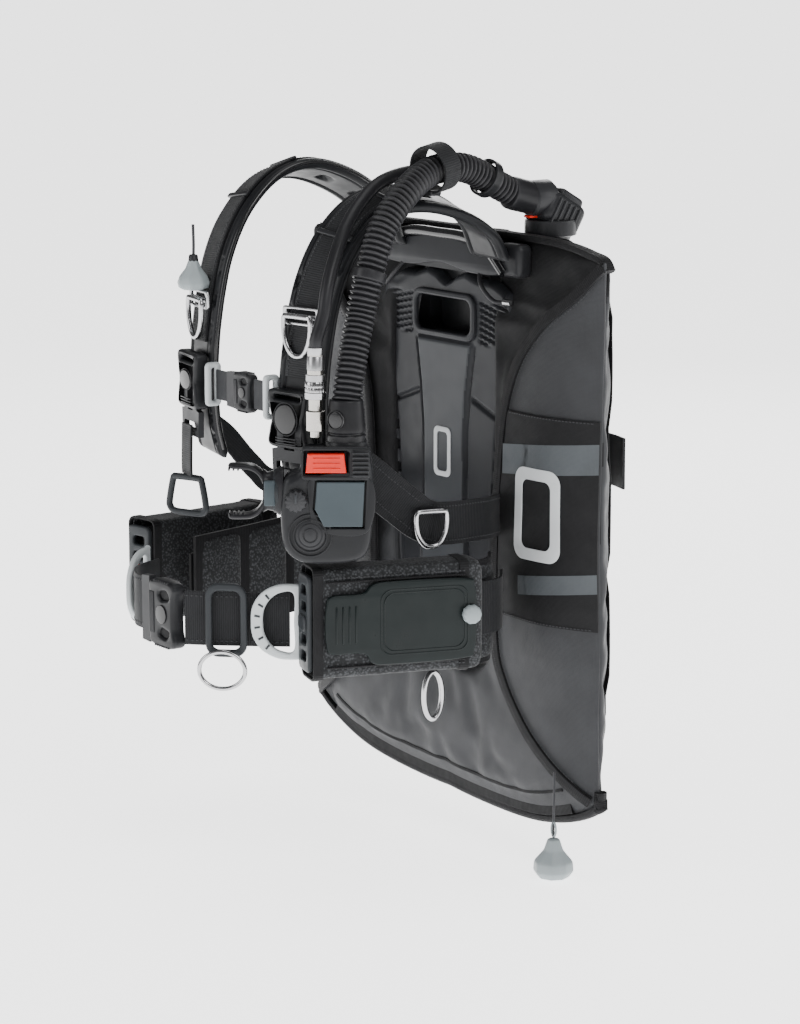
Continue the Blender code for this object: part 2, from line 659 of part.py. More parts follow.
def make_belt():
    for side in SIDE:
        upright_band("waist_belt_" + side, belt_route(side), BELT_HEIGHT, WEBBING, webbing)
    shell = box("waist_buckle", (0.044, 0.017, 0.062), (0.010, BUCKLE_Y, BELT_Z), polymer, 0.004)
    cavity = box("waist_cavity", (0.044, 0.0090, 0.050), (0.002, BUCKLE_Y, BELT_Z), None)
    boolean(shell, cavity)
    base = pivot("waist_tongue_pivot", (-0.014, BUCKLE_Y, BELT_Z))
    profile = [(-0.015, -0.030), (-0.002, -0.031), (-0.002, -0.0235), (0.028, -0.0235),
               (0.030, -0.014), (0.008, -0.011), (0.008, 0.011), (0.030, 0.014),
               (0.028, 0.0235), (-0.002, 0.0235), (-0.002, 0.031), (-0.015, 0.030)]
    plate("waist_tongue", [profile], 0.0070, polymer, (0, 0, 0), parent=base)


def make_belt_ring(side):
    """The big light D-ring, hinged on its upright bar on the belt."""
    at = {"left": (0.1095, -0.2710, BELT_Z), "right": (-0.1180, -0.2935, BELT_Z)}[side]
    turn = {"left": radians(49), "right": radians(-55)}[side]
    hinge = pivot("belt_ring_pivot_" + side, at, (0, 0, turn))
    way = -SIDE[side]
    outer = [(-0.004, -0.034), (0.004, -0.034), (0.020, -0.033), (0.036, -0.024),
             (0.043, -0.010), (0.043, 0.010), (0.036, 0.024), (0.020, 0.033), (0.004, 0.034),
             (-0.004, 0.034)]
    hole = [(0.004, -0.0265), (0.018, -0.0265), (0.028, -0.019), (0.031, -0.008),
            (0.031, 0.008), (0.028, 0.019), (0.018, 0.0265), (0.004, 0.0265)]
    drawn = [[(x * way, z) for x, z in outline] for outline in (outer, hole)]
    return plate("belt_ring_" + side, drawn, 0.0050, light_grey, (0, 0, 0), parent=hinge)


def make_belt_keeper():
    """The dark plastic loop on the belt and the steel ring that hangs in it."""
    centre = Vector((0.0655, -0.3200, BELT_Z))
    outline = rounded_rectangle(0.019, 0.034, 0.012)
    hole = rounded_rectangle(0.013, 0.027, 0.006)
    plate("belt_keeper", [outline, hole], 0.0050, grey_polymer, centre,
          (pi / 2, 0, radians(47)))
    hinge = pivot("belt_hoop_pivot", centre + Vector((0.006, -0.0085, -0.036)),
                  (0, 0, radians(47)))
    hoop = [(0.021 * cos(i / 16 * 2 * pi), 0.0, -0.008 + 0.017 * sin(i / 16 * 2 * pi))
            for i in range(16)]
    return tube("belt_hoop", hoop, RING_WIRE, steel, closed=True, parent=hinge)


def make_pocket(side):
    """The weight pocket: a holster open at the front, and the pouch that slides out of it."""
    frame = pivot("pocket_frame_" + side, POCKET_CENTRE[side], (0, 0, POCKET_TURN[side]))
    width, length, height = POCKET_SIZE
    wall = 0.004
    holster = box("pocket_" + side, POCKET_SIZE, (0, 0, 0), coated_nylon, 0.006, parent=frame,
                  segments=2)
    inside = box("pocket_space_" + side, (width - 2 * wall, length, height - 2 * wall),
                 (0, -wall, 0), None, parent=frame)
    boolean(holster, inside)
    slide = pivot("pouch_pivot_" + side, (0, 0, 0), parent=frame)
    pouch = box("weight_pouch_" + side, (width - 2 * wall - 0.003, length - 0.008,
                                         height - 2 * wall - 0.004),
                (0, -wall - 0.0005, 0), coated_nylon, 0.004, parent=slide)
    grip = box("pouch_grip_" + side, (0.010, 0.016, 0.050), (0, -length / 2 - 0.004, 0), None,
               parent=slide)
    boolean(pouch, grip, "UNION")
    return holster


def make_hip_pad(side):
    """The padded wing of the harness that lies inside the belt."""
    points = [(0.1020, -0.2500), (0.1225, -0.1800), (0.1425, -0.1150), (0.1405, -0.0850),
              (0.1180, -0.0640)]
    route = [(x * SIDE[side], y, BELT_Z - 0.006) for x, y in points]
    return upright_band("hip_pad_" + side, route, 0.100, 0.010, gel, 0.03)


def make_wing_ring(side):
    """The steel oval ring that hangs under the weight pocket."""
    hinge = pivot("wing_ring_pivot_" + side, (0.1370 * SIDE[side], -0.1420, -0.1800),
                  (0, 0, radians(90) * SIDE[side]))
    loop = [(0.010 * cos(i / 14 * 2 * pi), 0.0, -0.022 + 0.022 * sin(i / 14 * 2 * pi))
            for i in range(14)]
    return tube("wing_ring_" + side, loop, RING_WIRE, steel, closed=True, parent=hinge)


# ---------------------------------------------------------------- lower dump and tank band

def make_lower_dump():
    """The lower dump valve's cord, which leaves the seam of the air cell, and its knob."""
    x = 0.198
    y = WING_FRONT - COVER_THICKNESS - 0.006
    base = pivot("dump_pull_pivot", (x, y, -0.2795))
    cord = tube("dump_cord", [(0, 0, 0.0035), (0, 0, -0.030), (0, 0, -0.0640)], 0.0011, None,
                step=0.02, sides=1, parent=base)
    profile = [(0.0, -0.0595), (0.006, -0.0605), (0.010, -0.072), (0.0195, -0.082),
               (0.0195, -0.091), (0.014, -0.097), (0.0, -0.097)]
    knob = turned("dump_knob", profile, light_grey, (0, 0, 0), parent=base, steps=6)
    return boolean(knob, meshed(cord), "UNION")


def make_tank_band():
    """The tank band, slack behind the backplate, with its cam buckle and folded tail."""
    front = -0.0095
    side_x = 0.0735
    points = [(-0.0700, front), (0.0700, front), (side_x, -0.004), (side_x, 0.030),
              (0.088, 0.052), (0.092, 0.068), (0.080, 0.084), (0.045, 0.093), (0.0, 0.095),
              (-0.045, 0.093), (-0.080, 0.084), (-0.092, 0.068), (-0.088, 0.052),
              (-side_x, 0.030), (-side_x, -0.004)]
    route = [(x, y, BAND_Z) for x, y in points]
    upright_band("tank_band", route, BAND_HEIGHT, WEBBING, webbing, closed=True)
    tail = [(0.048, 0.1010, BAND_Z), (0.090, 0.1005, BAND_Z), (0.120, 0.0930, BAND_Z)]
    tail_band = upright_band("band_tail", tail, BAND_HEIGHT, WEBBING, None)
    buckle = box("cam_buckle", (0.060, 0.006, 0.062), (0.024, 0.1008, BAND_Z), polymer, 0.002)
    boolean(buckle, tail_band, "UNION")
    lever = pivot("cam_lever_pivot", (0.050, 0.1110, BAND_Z))
    plank = box("cam_lever", (0.058, 0.006, 0.056), (-0.025, 0.0, 0.0), polymer, 0.002,
                parent=lever)
    return plank


def build():
    make_backplate()
    make_back_pad()
    make_wing()
    for side in SIDE:
        make_wing_cover(side)
        make_strap(side)
        make_chest_slide(side)
        make_chest_ring(side)
        make_shoulder_buckle(side)
        make_lower_webbing(side)
        make_belt_ring(side)
        make_pocket(side)
        make_hip_pad(side)
    make_pull_ring("right")
    make_lower_ring("left")
    make_wing_ring("left")
    make_shoulder_pull()
    make_sternum()
    make_elbow()
    swing = make_hoses()
    make_low_pressure_hose(swing)
    make_quick_disconnect(swing)
    make_mouthpiece(make_inflator(swing))
    make_retainers()
    make_belt()
    make_belt_keeper()
    make_lower_dump()
    make_tank_band()


for existing in list(bpy.data.objects):
    bpy.data.objects.remove(existing)
parts = new_collection(OBJECT_NAME)
cutters = new_collection("cutters")
polymer = material("black polymer", (0.020, 0.021, 0.023), 0.45)
gel = material("moulded gel rubber", (0.035, 0.037, 0.040), 0.50)
rubber = material("hose rubber", (0.018, 0.018, 0.019), 0.55)
coated_nylon = material("coated nylon", (0.060, 0.062, 0.068), 0.70)
webbing = material("webbing", (0.015, 0.015, 0.017), 0.85)
steel = material("stainless steel", (0.70, 0.71, 0.72), 0.22, 1.0)
brass = material("nickelled brass", (0.66, 0.62, 0.55), 0.28, 1.0)
light_grey = material("light grey polymer", (0.62, 0.66, 0.68), 0.40)
grey_polymer = material("slate grey polymer", (0.16, 0.20, 0.22), 0.42)
red_polymer = material("red polymer", (0.80, 0.05, 0.03), 0.35)
build()
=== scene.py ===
"""The looks of the buoyancy vest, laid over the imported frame.

Metres, +Z up; the wearer faces -Y and the wearer's left side is +X.
"""
import bpy
import bmesh
from math import cos, sin, pi, radians, sqrt, hypot
from mathutils import Matrix, Vector, noise
from mathutils.bvhtree import BVHTree


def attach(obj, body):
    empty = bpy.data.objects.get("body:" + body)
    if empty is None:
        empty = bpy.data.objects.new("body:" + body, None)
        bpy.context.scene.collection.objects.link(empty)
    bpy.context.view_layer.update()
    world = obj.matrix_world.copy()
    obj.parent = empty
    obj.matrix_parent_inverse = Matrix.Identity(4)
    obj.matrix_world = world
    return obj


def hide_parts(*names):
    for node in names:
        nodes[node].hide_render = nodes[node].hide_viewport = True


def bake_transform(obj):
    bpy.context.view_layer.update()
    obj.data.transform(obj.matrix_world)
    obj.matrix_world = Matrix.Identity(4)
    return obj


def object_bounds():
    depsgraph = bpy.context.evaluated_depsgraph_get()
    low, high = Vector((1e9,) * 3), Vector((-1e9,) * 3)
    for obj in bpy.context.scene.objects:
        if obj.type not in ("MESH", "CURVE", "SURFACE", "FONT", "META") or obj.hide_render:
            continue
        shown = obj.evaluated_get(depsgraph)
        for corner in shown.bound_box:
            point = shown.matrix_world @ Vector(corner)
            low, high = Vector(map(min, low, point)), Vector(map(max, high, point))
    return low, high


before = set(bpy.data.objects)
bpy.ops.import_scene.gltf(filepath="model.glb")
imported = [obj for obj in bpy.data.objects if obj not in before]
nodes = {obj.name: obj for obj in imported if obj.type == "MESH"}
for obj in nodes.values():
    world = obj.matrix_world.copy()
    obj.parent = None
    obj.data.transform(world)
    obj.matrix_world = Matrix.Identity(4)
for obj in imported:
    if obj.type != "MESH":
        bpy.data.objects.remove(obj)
cad_box = [list(corner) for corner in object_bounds()]
SIDE = {"left": 1.0, "right": -1.0}


# ---------------------------------------------------------------- materials

class Shader:
    """A material's node tree, with short ways to add and link its nodes."""

    def __init__(self, name):
        self.material = bpy.data.materials.new(name)
        self.material.use_nodes = True
        self.tree = self.material.node_tree
        self.principled = self.tree.nodes["Principled BSDF"]

    def add(self, kind, inputs, **settings):
        made = self.tree.nodes.new("ShaderNode" + kind)
        for key, value in settings.items():
            setattr(made, key, value)
        for key, value in inputs.items():
            self.put(made.inputs[key], value)
        return made

    def put(self, socket, value):
        if isinstance(value, bpy.types.NodeSocket):
            self.tree.links.new(value, socket)
        else:
            socket.default_value = value

    def math(self, operation, a, b):
        return self.add("Math", {0: a, 1: b}, operation=operation).outputs[0]

    def ramp(self, value, low, high, to_low, to_high):
        inputs = {"Value": value, "From Min": low, "From Max": high,
                  "To Min": to_low, "To Max": to_high}
        return self.add("MapRange", inputs).outputs[0]

    def noise(self, at, scale, detail=3.0):
        inputs = {"Vector": at, "Scale": scale, "Detail": detail}
        return self.add("TexNoise", inputs).outputs["Fac"]

    def bands(self, at, pitch, direction):
        """Smooth bands a pitch apart, in metres, along one axis."""
        inputs = {"Vector": at, "Scale": 2 * pi / 20 / pitch, "Distortion": 0.0}
        return self.add("TexWave", inputs, wave_type="BANDS",
                        bands_direction=direction).outputs["Fac"]

    def scaled(self, colour, factor):
        return self.add("VectorMath", {0: colour, "Scale": factor}, operation="SCALE").outputs[0]

    def mixed(self, factor, a, b):
        made = self.add("Mix", {"Factor": factor}, data_type="RGBA")
        self.put(made.inputs[6], a)
        self.put(made.inputs[7], b)
        return made.outputs[2]


def look(name, colour, rough, metal=0.0, vary=0.15, vary_scale=22.0, grain=0.12, grain_scale=900.0,
         weave=None, wear=0.0, wear_colour=(0.16, 0.16, 0.17), sheen=0.0, coat=0.0, specular=0.18):
    """A procedural material: mottled colour and gloss, a fine grain or weave, and worn edges."""
    s = Shader(name)
    at = s.add("TexCoord", {}).outputs["Object"]
    broad = s.noise(at, vary_scale, 5.0)
    fine = s.noise(at, grain_scale, 2.0)
    tone = s.ramp(broad, 0.3, 0.7, 1.0 - vary, 1.0 + vary)
    height = s.math("MULTIPLY", fine, grain)
    if weave == "ribbed":
        uv = s.add("TexCoord", {}).outputs["UV"]
        ribs = s.bands(uv, 0.0020, "X")
        yarns = s.bands(uv, 0.0009, "Y")
        height = s.math("ADD", height, s.math("ADD", ribs, s.math("MULTIPLY", yarns, 0.35)))
        tone = s.math("MULTIPLY", tone, s.ramp(ribs, 0.0, 1.0, 0.55, 1.35))
    if weave == "cloth":
        warp = s.bands(at, 0.0011, "X")
        weft = s.bands(at, 0.0011, "Z")
        cross = s.math("MULTIPLY", warp, weft)
        height = s.math("ADD", height, cross)
        tone = s.math("MULTIPLY", tone, s.ramp(cross, 0.0, 1.0, 0.90, 1.12))
    if weave == "mesh":
        inputs = {"Vector": at, "Scale": 420.0}
        holes = s.add("TexVoronoi", inputs).outputs["Distance"]
        height = s.math("ADD", height, s.math("MULTIPLY", holes, 2.0))
        tone = s.math("MULTIPLY", tone, s.ramp(holes, 0.1, 0.6, 1.5, 0.35))
    shade = s.scaled((*colour, ), tone)
    if wear:
        edge = s.add("NewGeometry", {}).outputs["Pointiness"]
        edge = s.ramp(edge, 0.52, 0.60, 0.0, wear)
        shade = s.mixed(edge, shade, (*wear_colour, 1.0))
    s.put(s.principled.inputs["Base Color"], shade)
    s.put(s.principled.inputs["Roughness"],
          s.ramp(s.noise(at, vary_scale * 3.0), 0.3, 0.7, max(0.03, rough - 0.06), rough + 0.06))
    s.principled.inputs["Metallic"].default_value = metal
    s.principled.inputs["Sheen Weight"].default_value = sheen
    s.principled.inputs["Sheen Roughness"].default_value = 0.45
    s.principled.inputs["Coat Weight"].default_value = coat
    s.principled.inputs["Coat Roughness"].default_value = 0.18
    s.principled.inputs["Specular IOR Level"].default_value = specular
    depth = 0.00030 if weave else 0.00010
    bump = s.add("Bump", {"Strength": 0.55, "Distance": depth, "Height": height})
    s.put(s.principled.inputs["Normal"], bump.outputs["Normal"])
    return s.material


polymer = look("black_polymer", (0.012, 0.0125, 0.014), 0.36, grain=0.6, wear=0.12)
polymer_gloss = look("glossy_polymer", (0.008, 0.008, 0.009), 0.20, grain=0.25, wear=0.12,
                     specular=0.40)
gel = look("gel_rubber", (0.023, 0.024, 0.027), 0.38, grain=0.5, vary=0.10, wear=0.15)
gel_light = look("gel_rubber_light", (0.046, 0.049, 0.054), 0.36, grain=0.5, vary=0.08)
strap_gel = look("strap_rubber", (0.010, 0.0105, 0.012), 0.34, grain=0.4, vary=0.12, wear=0.2)
bead = look("glossy_bead", (0.010, 0.010, 0.011), 0.18, grain=0.15, coat=0.3, specular=0.40)
rubber = look("hose_rubber", (0.013, 0.013, 0.0145), 0.36, grain=0.4, vary=0.2, wear=0.25)
bite_rubber = look("bite_silicone", (0.016, 0.016, 0.018), 0.32, grain=0.2)
nylon = look("coated_nylon", (0.034, 0.035, 0.038), 0.52, grain=0.5, weave="cloth", sheen=0.08)
# Dark nylon: the real colour of the wing panel, buckle cores, hip pad backing and pouches, and also
# laid on the air cell's upper front face as painted shade.
nylon_dark_and_shade = look("dark_nylon_painted_shade", (0.009, 0.009, 0.010), 0.62, grain=0.5, weave="cloth", sheen=0.05)
mesh_cloth = look("spacer_mesh", (0.040, 0.042, 0.045), 0.75, weave="mesh", sheen=0.1)
tape = look("binding_tape", (0.008, 0.008, 0.009), 0.66, grain=0.8, weave="ribbed", sheen=0.05)
webbing = look("webbing", (0.011, 0.0115, 0.013), 0.60, grain=0.8, weave="ribbed", sheen=0.08)
webbing_grey = look("grey_webbing", (0.026, 0.027, 0.030), 0.60, grain=0.8, weave="ribbed",
                    sheen=0.1)
thread = look("thread", (0.030, 0.031, 0.034), 0.60, sheen=0.2)
flap_gel = look("flap_rubber", (0.005, 0.0085, 0.0085), 0.33, grain=0.4, vary=0.12)
steel = look("polished_steel", (0.46, 0.46, 0.47), 0.20, metal=1.0, vary=0.05, grain=0.15,
             grain_scale=1500.0)
brushed = look("brushed_steel", (0.42, 0.42, 0.43), 0.30, metal=1.0, vary=0.06, grain=0.5,
               grain_scale=1300.0)
nickel = look("nickelled_brass", (0.50, 0.48, 0.45), 0.20, metal=1.0, vary=0.08)
light_grey = look("light_grey_polymer", (0.50, 0.53, 0.54), 0.36, grain=0.3, vary=0.05)
knob_grey = look("knob_grey_polymer", (0.27, 0.305, 0.315), 0.36, grain=0.3, vary=0.06)
slate = look("slate_polymer", (0.024, 0.027, 0.030), 0.38, grain=0.4, vary=0.10, wear=0.12)
purge_grey = look("purge_polymer", (0.046, 0.060, 0.068), 0.34, grain=0.3, vary=0.05)
red = look("red_polymer", (0.66, 0.022, 0.010), 0.30, grain=0.2, vary=0.05, coat=0.2)
printed = look("printed_white", (0.60, 0.62, 0.63), 0.50, grain=0.4, vary=0.06)
printed_grey = look("printed_grey", (0.085, 0.094, 0.102), 0.52, grain=0.4, weave="cloth")


# ---------------------------------------------------------------- mesh helpers

def finish_piece(made, body, material=None, stands_for=(), smooth=40.0):
    """Give a mesh piece its material and shading, and put it on its body."""
    if material is not None:
        made.data.materials.clear()
        made.data.materials.append(material)
    made.data.shade_smooth()
    made.data.set_sharp_from_angle(angle=radians(smooth))
    if body is not None:
        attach(made, body)
    if stands_for:
        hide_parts(*stands_for)
    return made


def linked(name, data):
    """A new object in the scene."""
    made = bpy.data.objects.new(name, data)
    bpy.context.scene.collection.objects.link(made)
    return made


def tinted(made, material):
    """Give its material to a piece that will be joined with others."""
    made.data.materials.append(material)
    return made


def grid_faces(rows, columns):
    """The faces of an open grid of points."""
    faces = []
    for i in range(rows - 1):
        for k in range(columns - 1):
            a = i * columns + k
            faces.append((a, a + 1, a + columns + 1, a + columns))
    return faces


def wrapped_faces(rings, size, closed=False):
    """The faces round a row of rings; closed joins the last ring to the first."""
    faces = []
    for i in range(rings if closed else rings - 1):
        j = (i + 1) % rings
        for k in range(size):
            m = (k + 1) % size
            faces.append((i * size + k, j * size + k, j * size + m, i * size + m))
    return faces


def mesh_piece(name, verts, faces, uvs=None):
    """A mesh object; uvs holds one pair per vertex, in metres."""
    data = bpy.data.meshes.new(name)
    data.from_pydata([tuple(v) for v in verts], [], faces)
    if uvs is not None:
        layer = data.uv_layers.new(name="UVMap")
        for loop in data.loops:
            layer.data[loop.index].uv = uvs[loop.vertex_index]
    return linked(name, data)


def joined(name, pieces):
    """One object from several, with their materials kept."""
    shape = bmesh.new()
    materials = []
    for one in pieces:
        data = applied(one)
        data.transform(one.matrix_world)
        for polygon in data.polygons:
            look_here = data.materials[polygon.material_index] if data.materials else None
            if look_here not in materials:
                materials.append(look_here)
            polygon.material_index = materials.index(look_here)
        shape.from_mesh(data)
        bpy.data.objects.remove(one)
    data = bpy.data.meshes.new(name)
    shape.to_mesh(data)
    shape.free()
    for one in materials:
        data.materials.append(one)
    return linked(name, data)


def applied(made):
    """The object's mesh with its modifiers applied."""
    bpy.context.view_layer.update()
    graph = bpy.context.evaluated_depsgraph_get()
    return bpy.data.meshes.new_from_object(made.evaluated_get(graph))


def bake_down(made):
    """Apply the object's modifiers to its own mesh."""
    data = applied(made)
    made.modifiers.clear()
    made.data = data
    return made


def thickened(made, thickness, offset):
    """Give a sheet its thickness."""
    skin = made.modifiers.new("thickness", "SOLIDIFY")
    skin.thickness = thickness
    skin.offset = offset
    return bake_down(made)


def rounded(made, width, segments=3, angle=35.0):
    edge = made.modifiers.new("rounded", "BEVEL")
    edge.width = width
    edge.segments = segments
    edge.limit_method = "ANGLE"
    edge.angle_limit = radians(angle)
    return made


def subdivided(made, levels=1):
    step = made.modifiers.new("smooth", "SUBSURF")
    step.levels = levels
    step.render_levels = levels
    return made


def combine(made, other, operation="DIFFERENCE"):
    """Cut or join another shape, which is used up."""
    step = made.modifiers.new("combine", "BOOLEAN")
    step.operation = operation
    step.solver = "EXACT"
    step.object = other
    bake_down(made)
    bpy.data.objects.remove(other)
    return made


def spline_point(a, b, c, d, t):
    """A point between b and c on the smooth curve through all four."""
    return 0.5 * (2 * b + (c - a) * t + (2 * a - 5 * b + 4 * c - d) * t * t
                  + (3 * b - a - 3 * c + d) * t ** 3)


def smooth_route(points, step):
    """Points about a step apart on a smooth curve through the given ones."""
    knots = [Vector(p) for p in points]
    knots = [2 * knots[0] - knots[1]] + knots + [2 * knots[-1] - knots[-2]]
    route = []
    for a, b, c, d in zip(knots, knots[1:], knots[2:], knots[3:]):
        count = max(1, round((c - b).length / step))
        for i in range(count):
            t = i / count
            route.append(spline_point(a, b, c, d, t))
    route.append(knots[-2])
    return route


def smooth_loop(points, step):
    """A closed smooth curve through the points."""
    knots = [Vector(p) for p in points]
    count = len(knots)
    route = []
    for i in range(count):
        a, b, c, d = (knots[(i + k - 1) % count] for k in range(4))
        pieces = max(1, round((c - b).length / step))
        for j in range(pieces):
            t = j / pieces
            route.append(spline_point(a, b, c, d, t))
    return route


def lengths_along(route):
    total = [0.0]
    for a, b in zip(route, route[1:]):
        total.append(total[-1] + (b - a).length)
    return total


def even_route(route, count):
    """The same curve at evenly spaced points."""
    total = lengths_along(route)
    out = []
    j = 0
    for i in range(count):
        goal = total[-1] * i / (count - 1)
        while j < len(route) - 2 and total[j + 1] < goal:
            j += 1
        span = total[j + 1] - total[j]
        t = (goal - total[j]) / span if span else 0.0
        out.append(route[j].lerp(route[j + 1], t))
    return out


def tangents(route, closed=False):
    out = []
    last = len(route) - 1
    for i in range(len(route)):
        if closed:
            step = route[(i + 1) % len(route)] - route[i - 1]
        else:
            step = route[min(i + 1, last)] - route[max(i - 1, 0)]
        out.append(step.normalized())
    return out


def sweep(name, route, across, section, closed=False, scale=None):
    """A section swept along a route.

    section lists (sideways, outwards) points; across gives the sideways direction at each station.
    """
    ways = tangents(route, closed)
    total = lengths_along(route)
    verts, uvs = [], []
    for i, (centre, way) in enumerate(zip(route, ways)):
        side = across[i] if isinstance(across, list) else Vector(across)
        side = (side - way * side.dot(way)).normalized()
        out = side.cross(way)
        width, depth = scale[i] if scale else (1.0, 1.0)
        girth = 0.0
        for k, (a, n) in enumerate(section):
            if k:
                girth += hypot(a - section[k - 1][0], n - section[k - 1][1])
            verts.append(centre + side * a * width + out * n * depth)
            uvs.append((total[i], girth))
    size, stations = len(section), len(route)
    faces = wrapped_faces(stations, size, closed)
    if not closed:
        faces.append(tuple(reversed(range(size))))
        faces.append(tuple((stations - 1) * size + k for k in range(size)))
    made = mesh_piece(name, verts, faces, uvs)
    outward(made)
    return made


def outward(made):
    shape = bmesh.new()
    shape.from_mesh(made.data)
    bmesh.ops.recalc_face_normals(shape, faces=shape.faces)
    shape.to_mesh(made.data)
    shape.free()
    return made


def round_section(radius, sides):
    return [(radius * cos(2 * pi * k / sides), radius * sin(2 * pi * k / sides))
            for k in range(sides)]


def flat_section(width, thickness):
    """Webbing's cross-section: flat, with soft slightly thicker edges."""
    w = width / 2
    t = thickness / 2
    return [(-w, 0.0), (-w + 0.3 * t, t * 0.9), (-w + 0.0016, t * 1.05), (-w * 0.5, t), (0.0, t),
            (w * 0.5, t), (w - 0.0016, t * 1.05), (w - 0.3 * t, t * 0.9), (w, 0.0),
            (w - 0.3 * t, -t * 0.9), (w - 0.0016, -t * 1.05), (w * 0.5, -t), (0.0, -t),
            (-w * 0.5, -t), (-w + 0.0016, -t * 1.05), (-w + 0.3 * t, -t * 0.9)]


def tube(name, points, radius, step=0.006, sides=14, closed=False):
    """A round cord, hose or wire."""
    route = smooth_loop(points, step) if closed else smooth_route(points, step)
    frames = turning_frames(route, closed)
    return sweep(name, route, frames, round_section(radius, sides), closed)


def turning_frames(route, closed=False):
    """Sideways directions that turn as little as possible along the route."""
    ways = tangents(route, closed)
    start = Vector((0, 0, 1)) if abs(ways[0].z) < 0.9 else Vector((1, 0, 0))
    side = (start - ways[0] * start.dot(ways[0])).normalized()
    out = [side]
    for way in ways[1:]:
        side = (side - way * side.dot(way)).normalized()
        out.append(side)
    return out


def plate(name, outlines, thickness, rounding=0.0, matrix=None, steps=2):
    """A flat outline in X and Z, thick along Y, with rounded rims; later outlines are holes."""
    curve = bpy.data.curves.new(name, "CURVE")
    curve.dimensions = "2D"
    curve.fill_mode = "BOTH"
    curve.extrude = max(0.0, thickness / 2 - rounding)
    curve.bevel_depth = rounding
    curve.bevel_resolution = steps if rounding else 0
    curve.offset = -rounding
    for outline in outlines:
        spline = curve.splines.new("POLY")
        spline.points.add(len(outline) - 1)
        for point, (x, z) in zip(spline.points, outline):
            point.co = (x, z, 0.0, 1.0)
        spline.use_cyclic_u = True
    drawn = linked(name, curve)
    data = applied(drawn)
    bpy.data.objects.remove(drawn)
    shape = bmesh.new()
    shape.from_mesh(data)
    bmesh.ops.remove_doubles(shape, verts=shape.verts, dist=0.00001)
    shape.transform(Matrix.Rotation(pi / 2, 4, "X"))
    shape.to_mesh(data)
    shape.free()
    made = linked(name, data)
    if matrix is not None:
        data.transform(matrix)
    return made


def block(name, size, matrix=None, centre=(0, 0, 0), rounding=0.002, segments=3):
    """A box with rounded edges, as one moulded piece."""
    shape = bmesh.new()
    bmesh.ops.create_cube(shape, size=1.0, matrix=Matrix.Diagonal((*size, 1.0)))
    bmesh.ops.translate(shape, verts=shape.verts, vec=centre)
    data = bpy.data.meshes.new(name)
    shape.to_mesh(data)
    shape.free()
    made = linked(name, data)
    if rounding:
        rounded(made, rounding, segments)
        bake_down(made)
    if matrix is not None:
        made.data.transform(matrix)
    return made


def turned(name, profile, matrix=None, steps=32, flutes=0, depth=0.0):
    """A solid of revolution about Z; flutes make the radius wave round the axis."""
    verts = []
    for r, z in profile:
        for k in range(steps):
            angle = 2 * pi * k / steps
            wave = 1.0 + depth * cos(flutes * angle) if flutes else 1.0
            verts.append((r * wave * cos(angle), r * wave * sin(angle), z))
    faces = wrapped_faces(len(profile), steps)
    faces.append(tuple(range(steps)))
    faces.append(tuple(reversed([(len(profile) - 1) * steps + k for k in range(steps)])))
    made = mesh_piece(name, verts, faces)
    outward(made)
    if matrix is not None:
        made.data.transform(matrix)
    return made


def subdivide_mesh(made, cuts):
    """Cut the mesh's edges finer without changing its shape."""
    shape = bmesh.new()
    shape.from_mesh(made.data)
    bmesh.ops.triangulate(shape, faces=shape.faces)
    bmesh.ops.subdivide_edges(shape, edges=shape.edges, cuts=cuts, use_grid_fill=True)
    shape.to_mesh(made.data)
    shape.free()


def rounded_rectangle(half_x, half_z, radius, steps=4, middle=(0.0, 0.0)):
    outline = []
    for corner in range(4):
        cx = (half_x - radius) * (1 if corner in (0, 3) else -1)
        cz = (half_z - radius) * (1 if corner in (0, 1) else -1)
        for i in range(steps + 1):
            angle = corner * pi / 2 + i / steps * pi / 2
            outline.append((middle[0] + cx + radius * cos(angle),
                            middle[1] + cz + radius * sin(angle)))
    return outline


def circle(radius, steps=28, middle=(0.0, 0.0), squeeze=1.0):
    return [(middle[0] + radius * cos(2 * pi * i / steps),
             middle[1] + radius * squeeze * sin(2 * pi * i / steps)) for i in range(steps)]


def curved_outline(points, step=0.003):
    return [(p.x, p.z) for p in smooth_loop([(x, 0, z) for x, z in points], step)]


def stitches(name, route, outs, body, pitch=0.0036, long=0.0024, thick=0.00045, material=None):
    """A row of sewn stitches along a route; outs gives the fabric's outward direction."""
    count = max(2, round(lengths_along(route)[-1] / pitch))
    even = even_route(route, count)
    ways = tangents(even)
    verts, faces = [], []
    for i in range(count - 1):
        centre = (even[i] + even[i + 1]) / 2
        if isinstance(outs, list):
            out = outs[round(i / (count - 1) * (len(outs) - 1))]
        else:
            out = Vector(outs)
        way = ways[i]
        side = way.cross(out).normalized()
        base = len(verts)
        for along, lift in ((-0.5, -0.2), (-0.3, 1.0), (0.3, 1.0), (0.5, -0.2)):
            for across in (-1.0, 1.0):
                verts.append(centre + way * along * long + out * lift * thick
                             + side * across * thick)
        for k in range(3):
            a = base + 2 * k
            faces.append((a, a + 1, a + 3, a + 2))
        faces.append((base, base + 2, base + 4, base + 6))
        faces.append((base + 7, base + 5, base + 3, base + 1))
    made = mesh_piece(name, verts, faces)
    return finish_piece(made, body, material or thread, smooth=60.0)


def at_frame(origin, turn):
    return Matrix.Translation(origin) @ Matrix.Rotation(turn, 4, "Z")


# ---------------------------------------------------------------- soft simulation

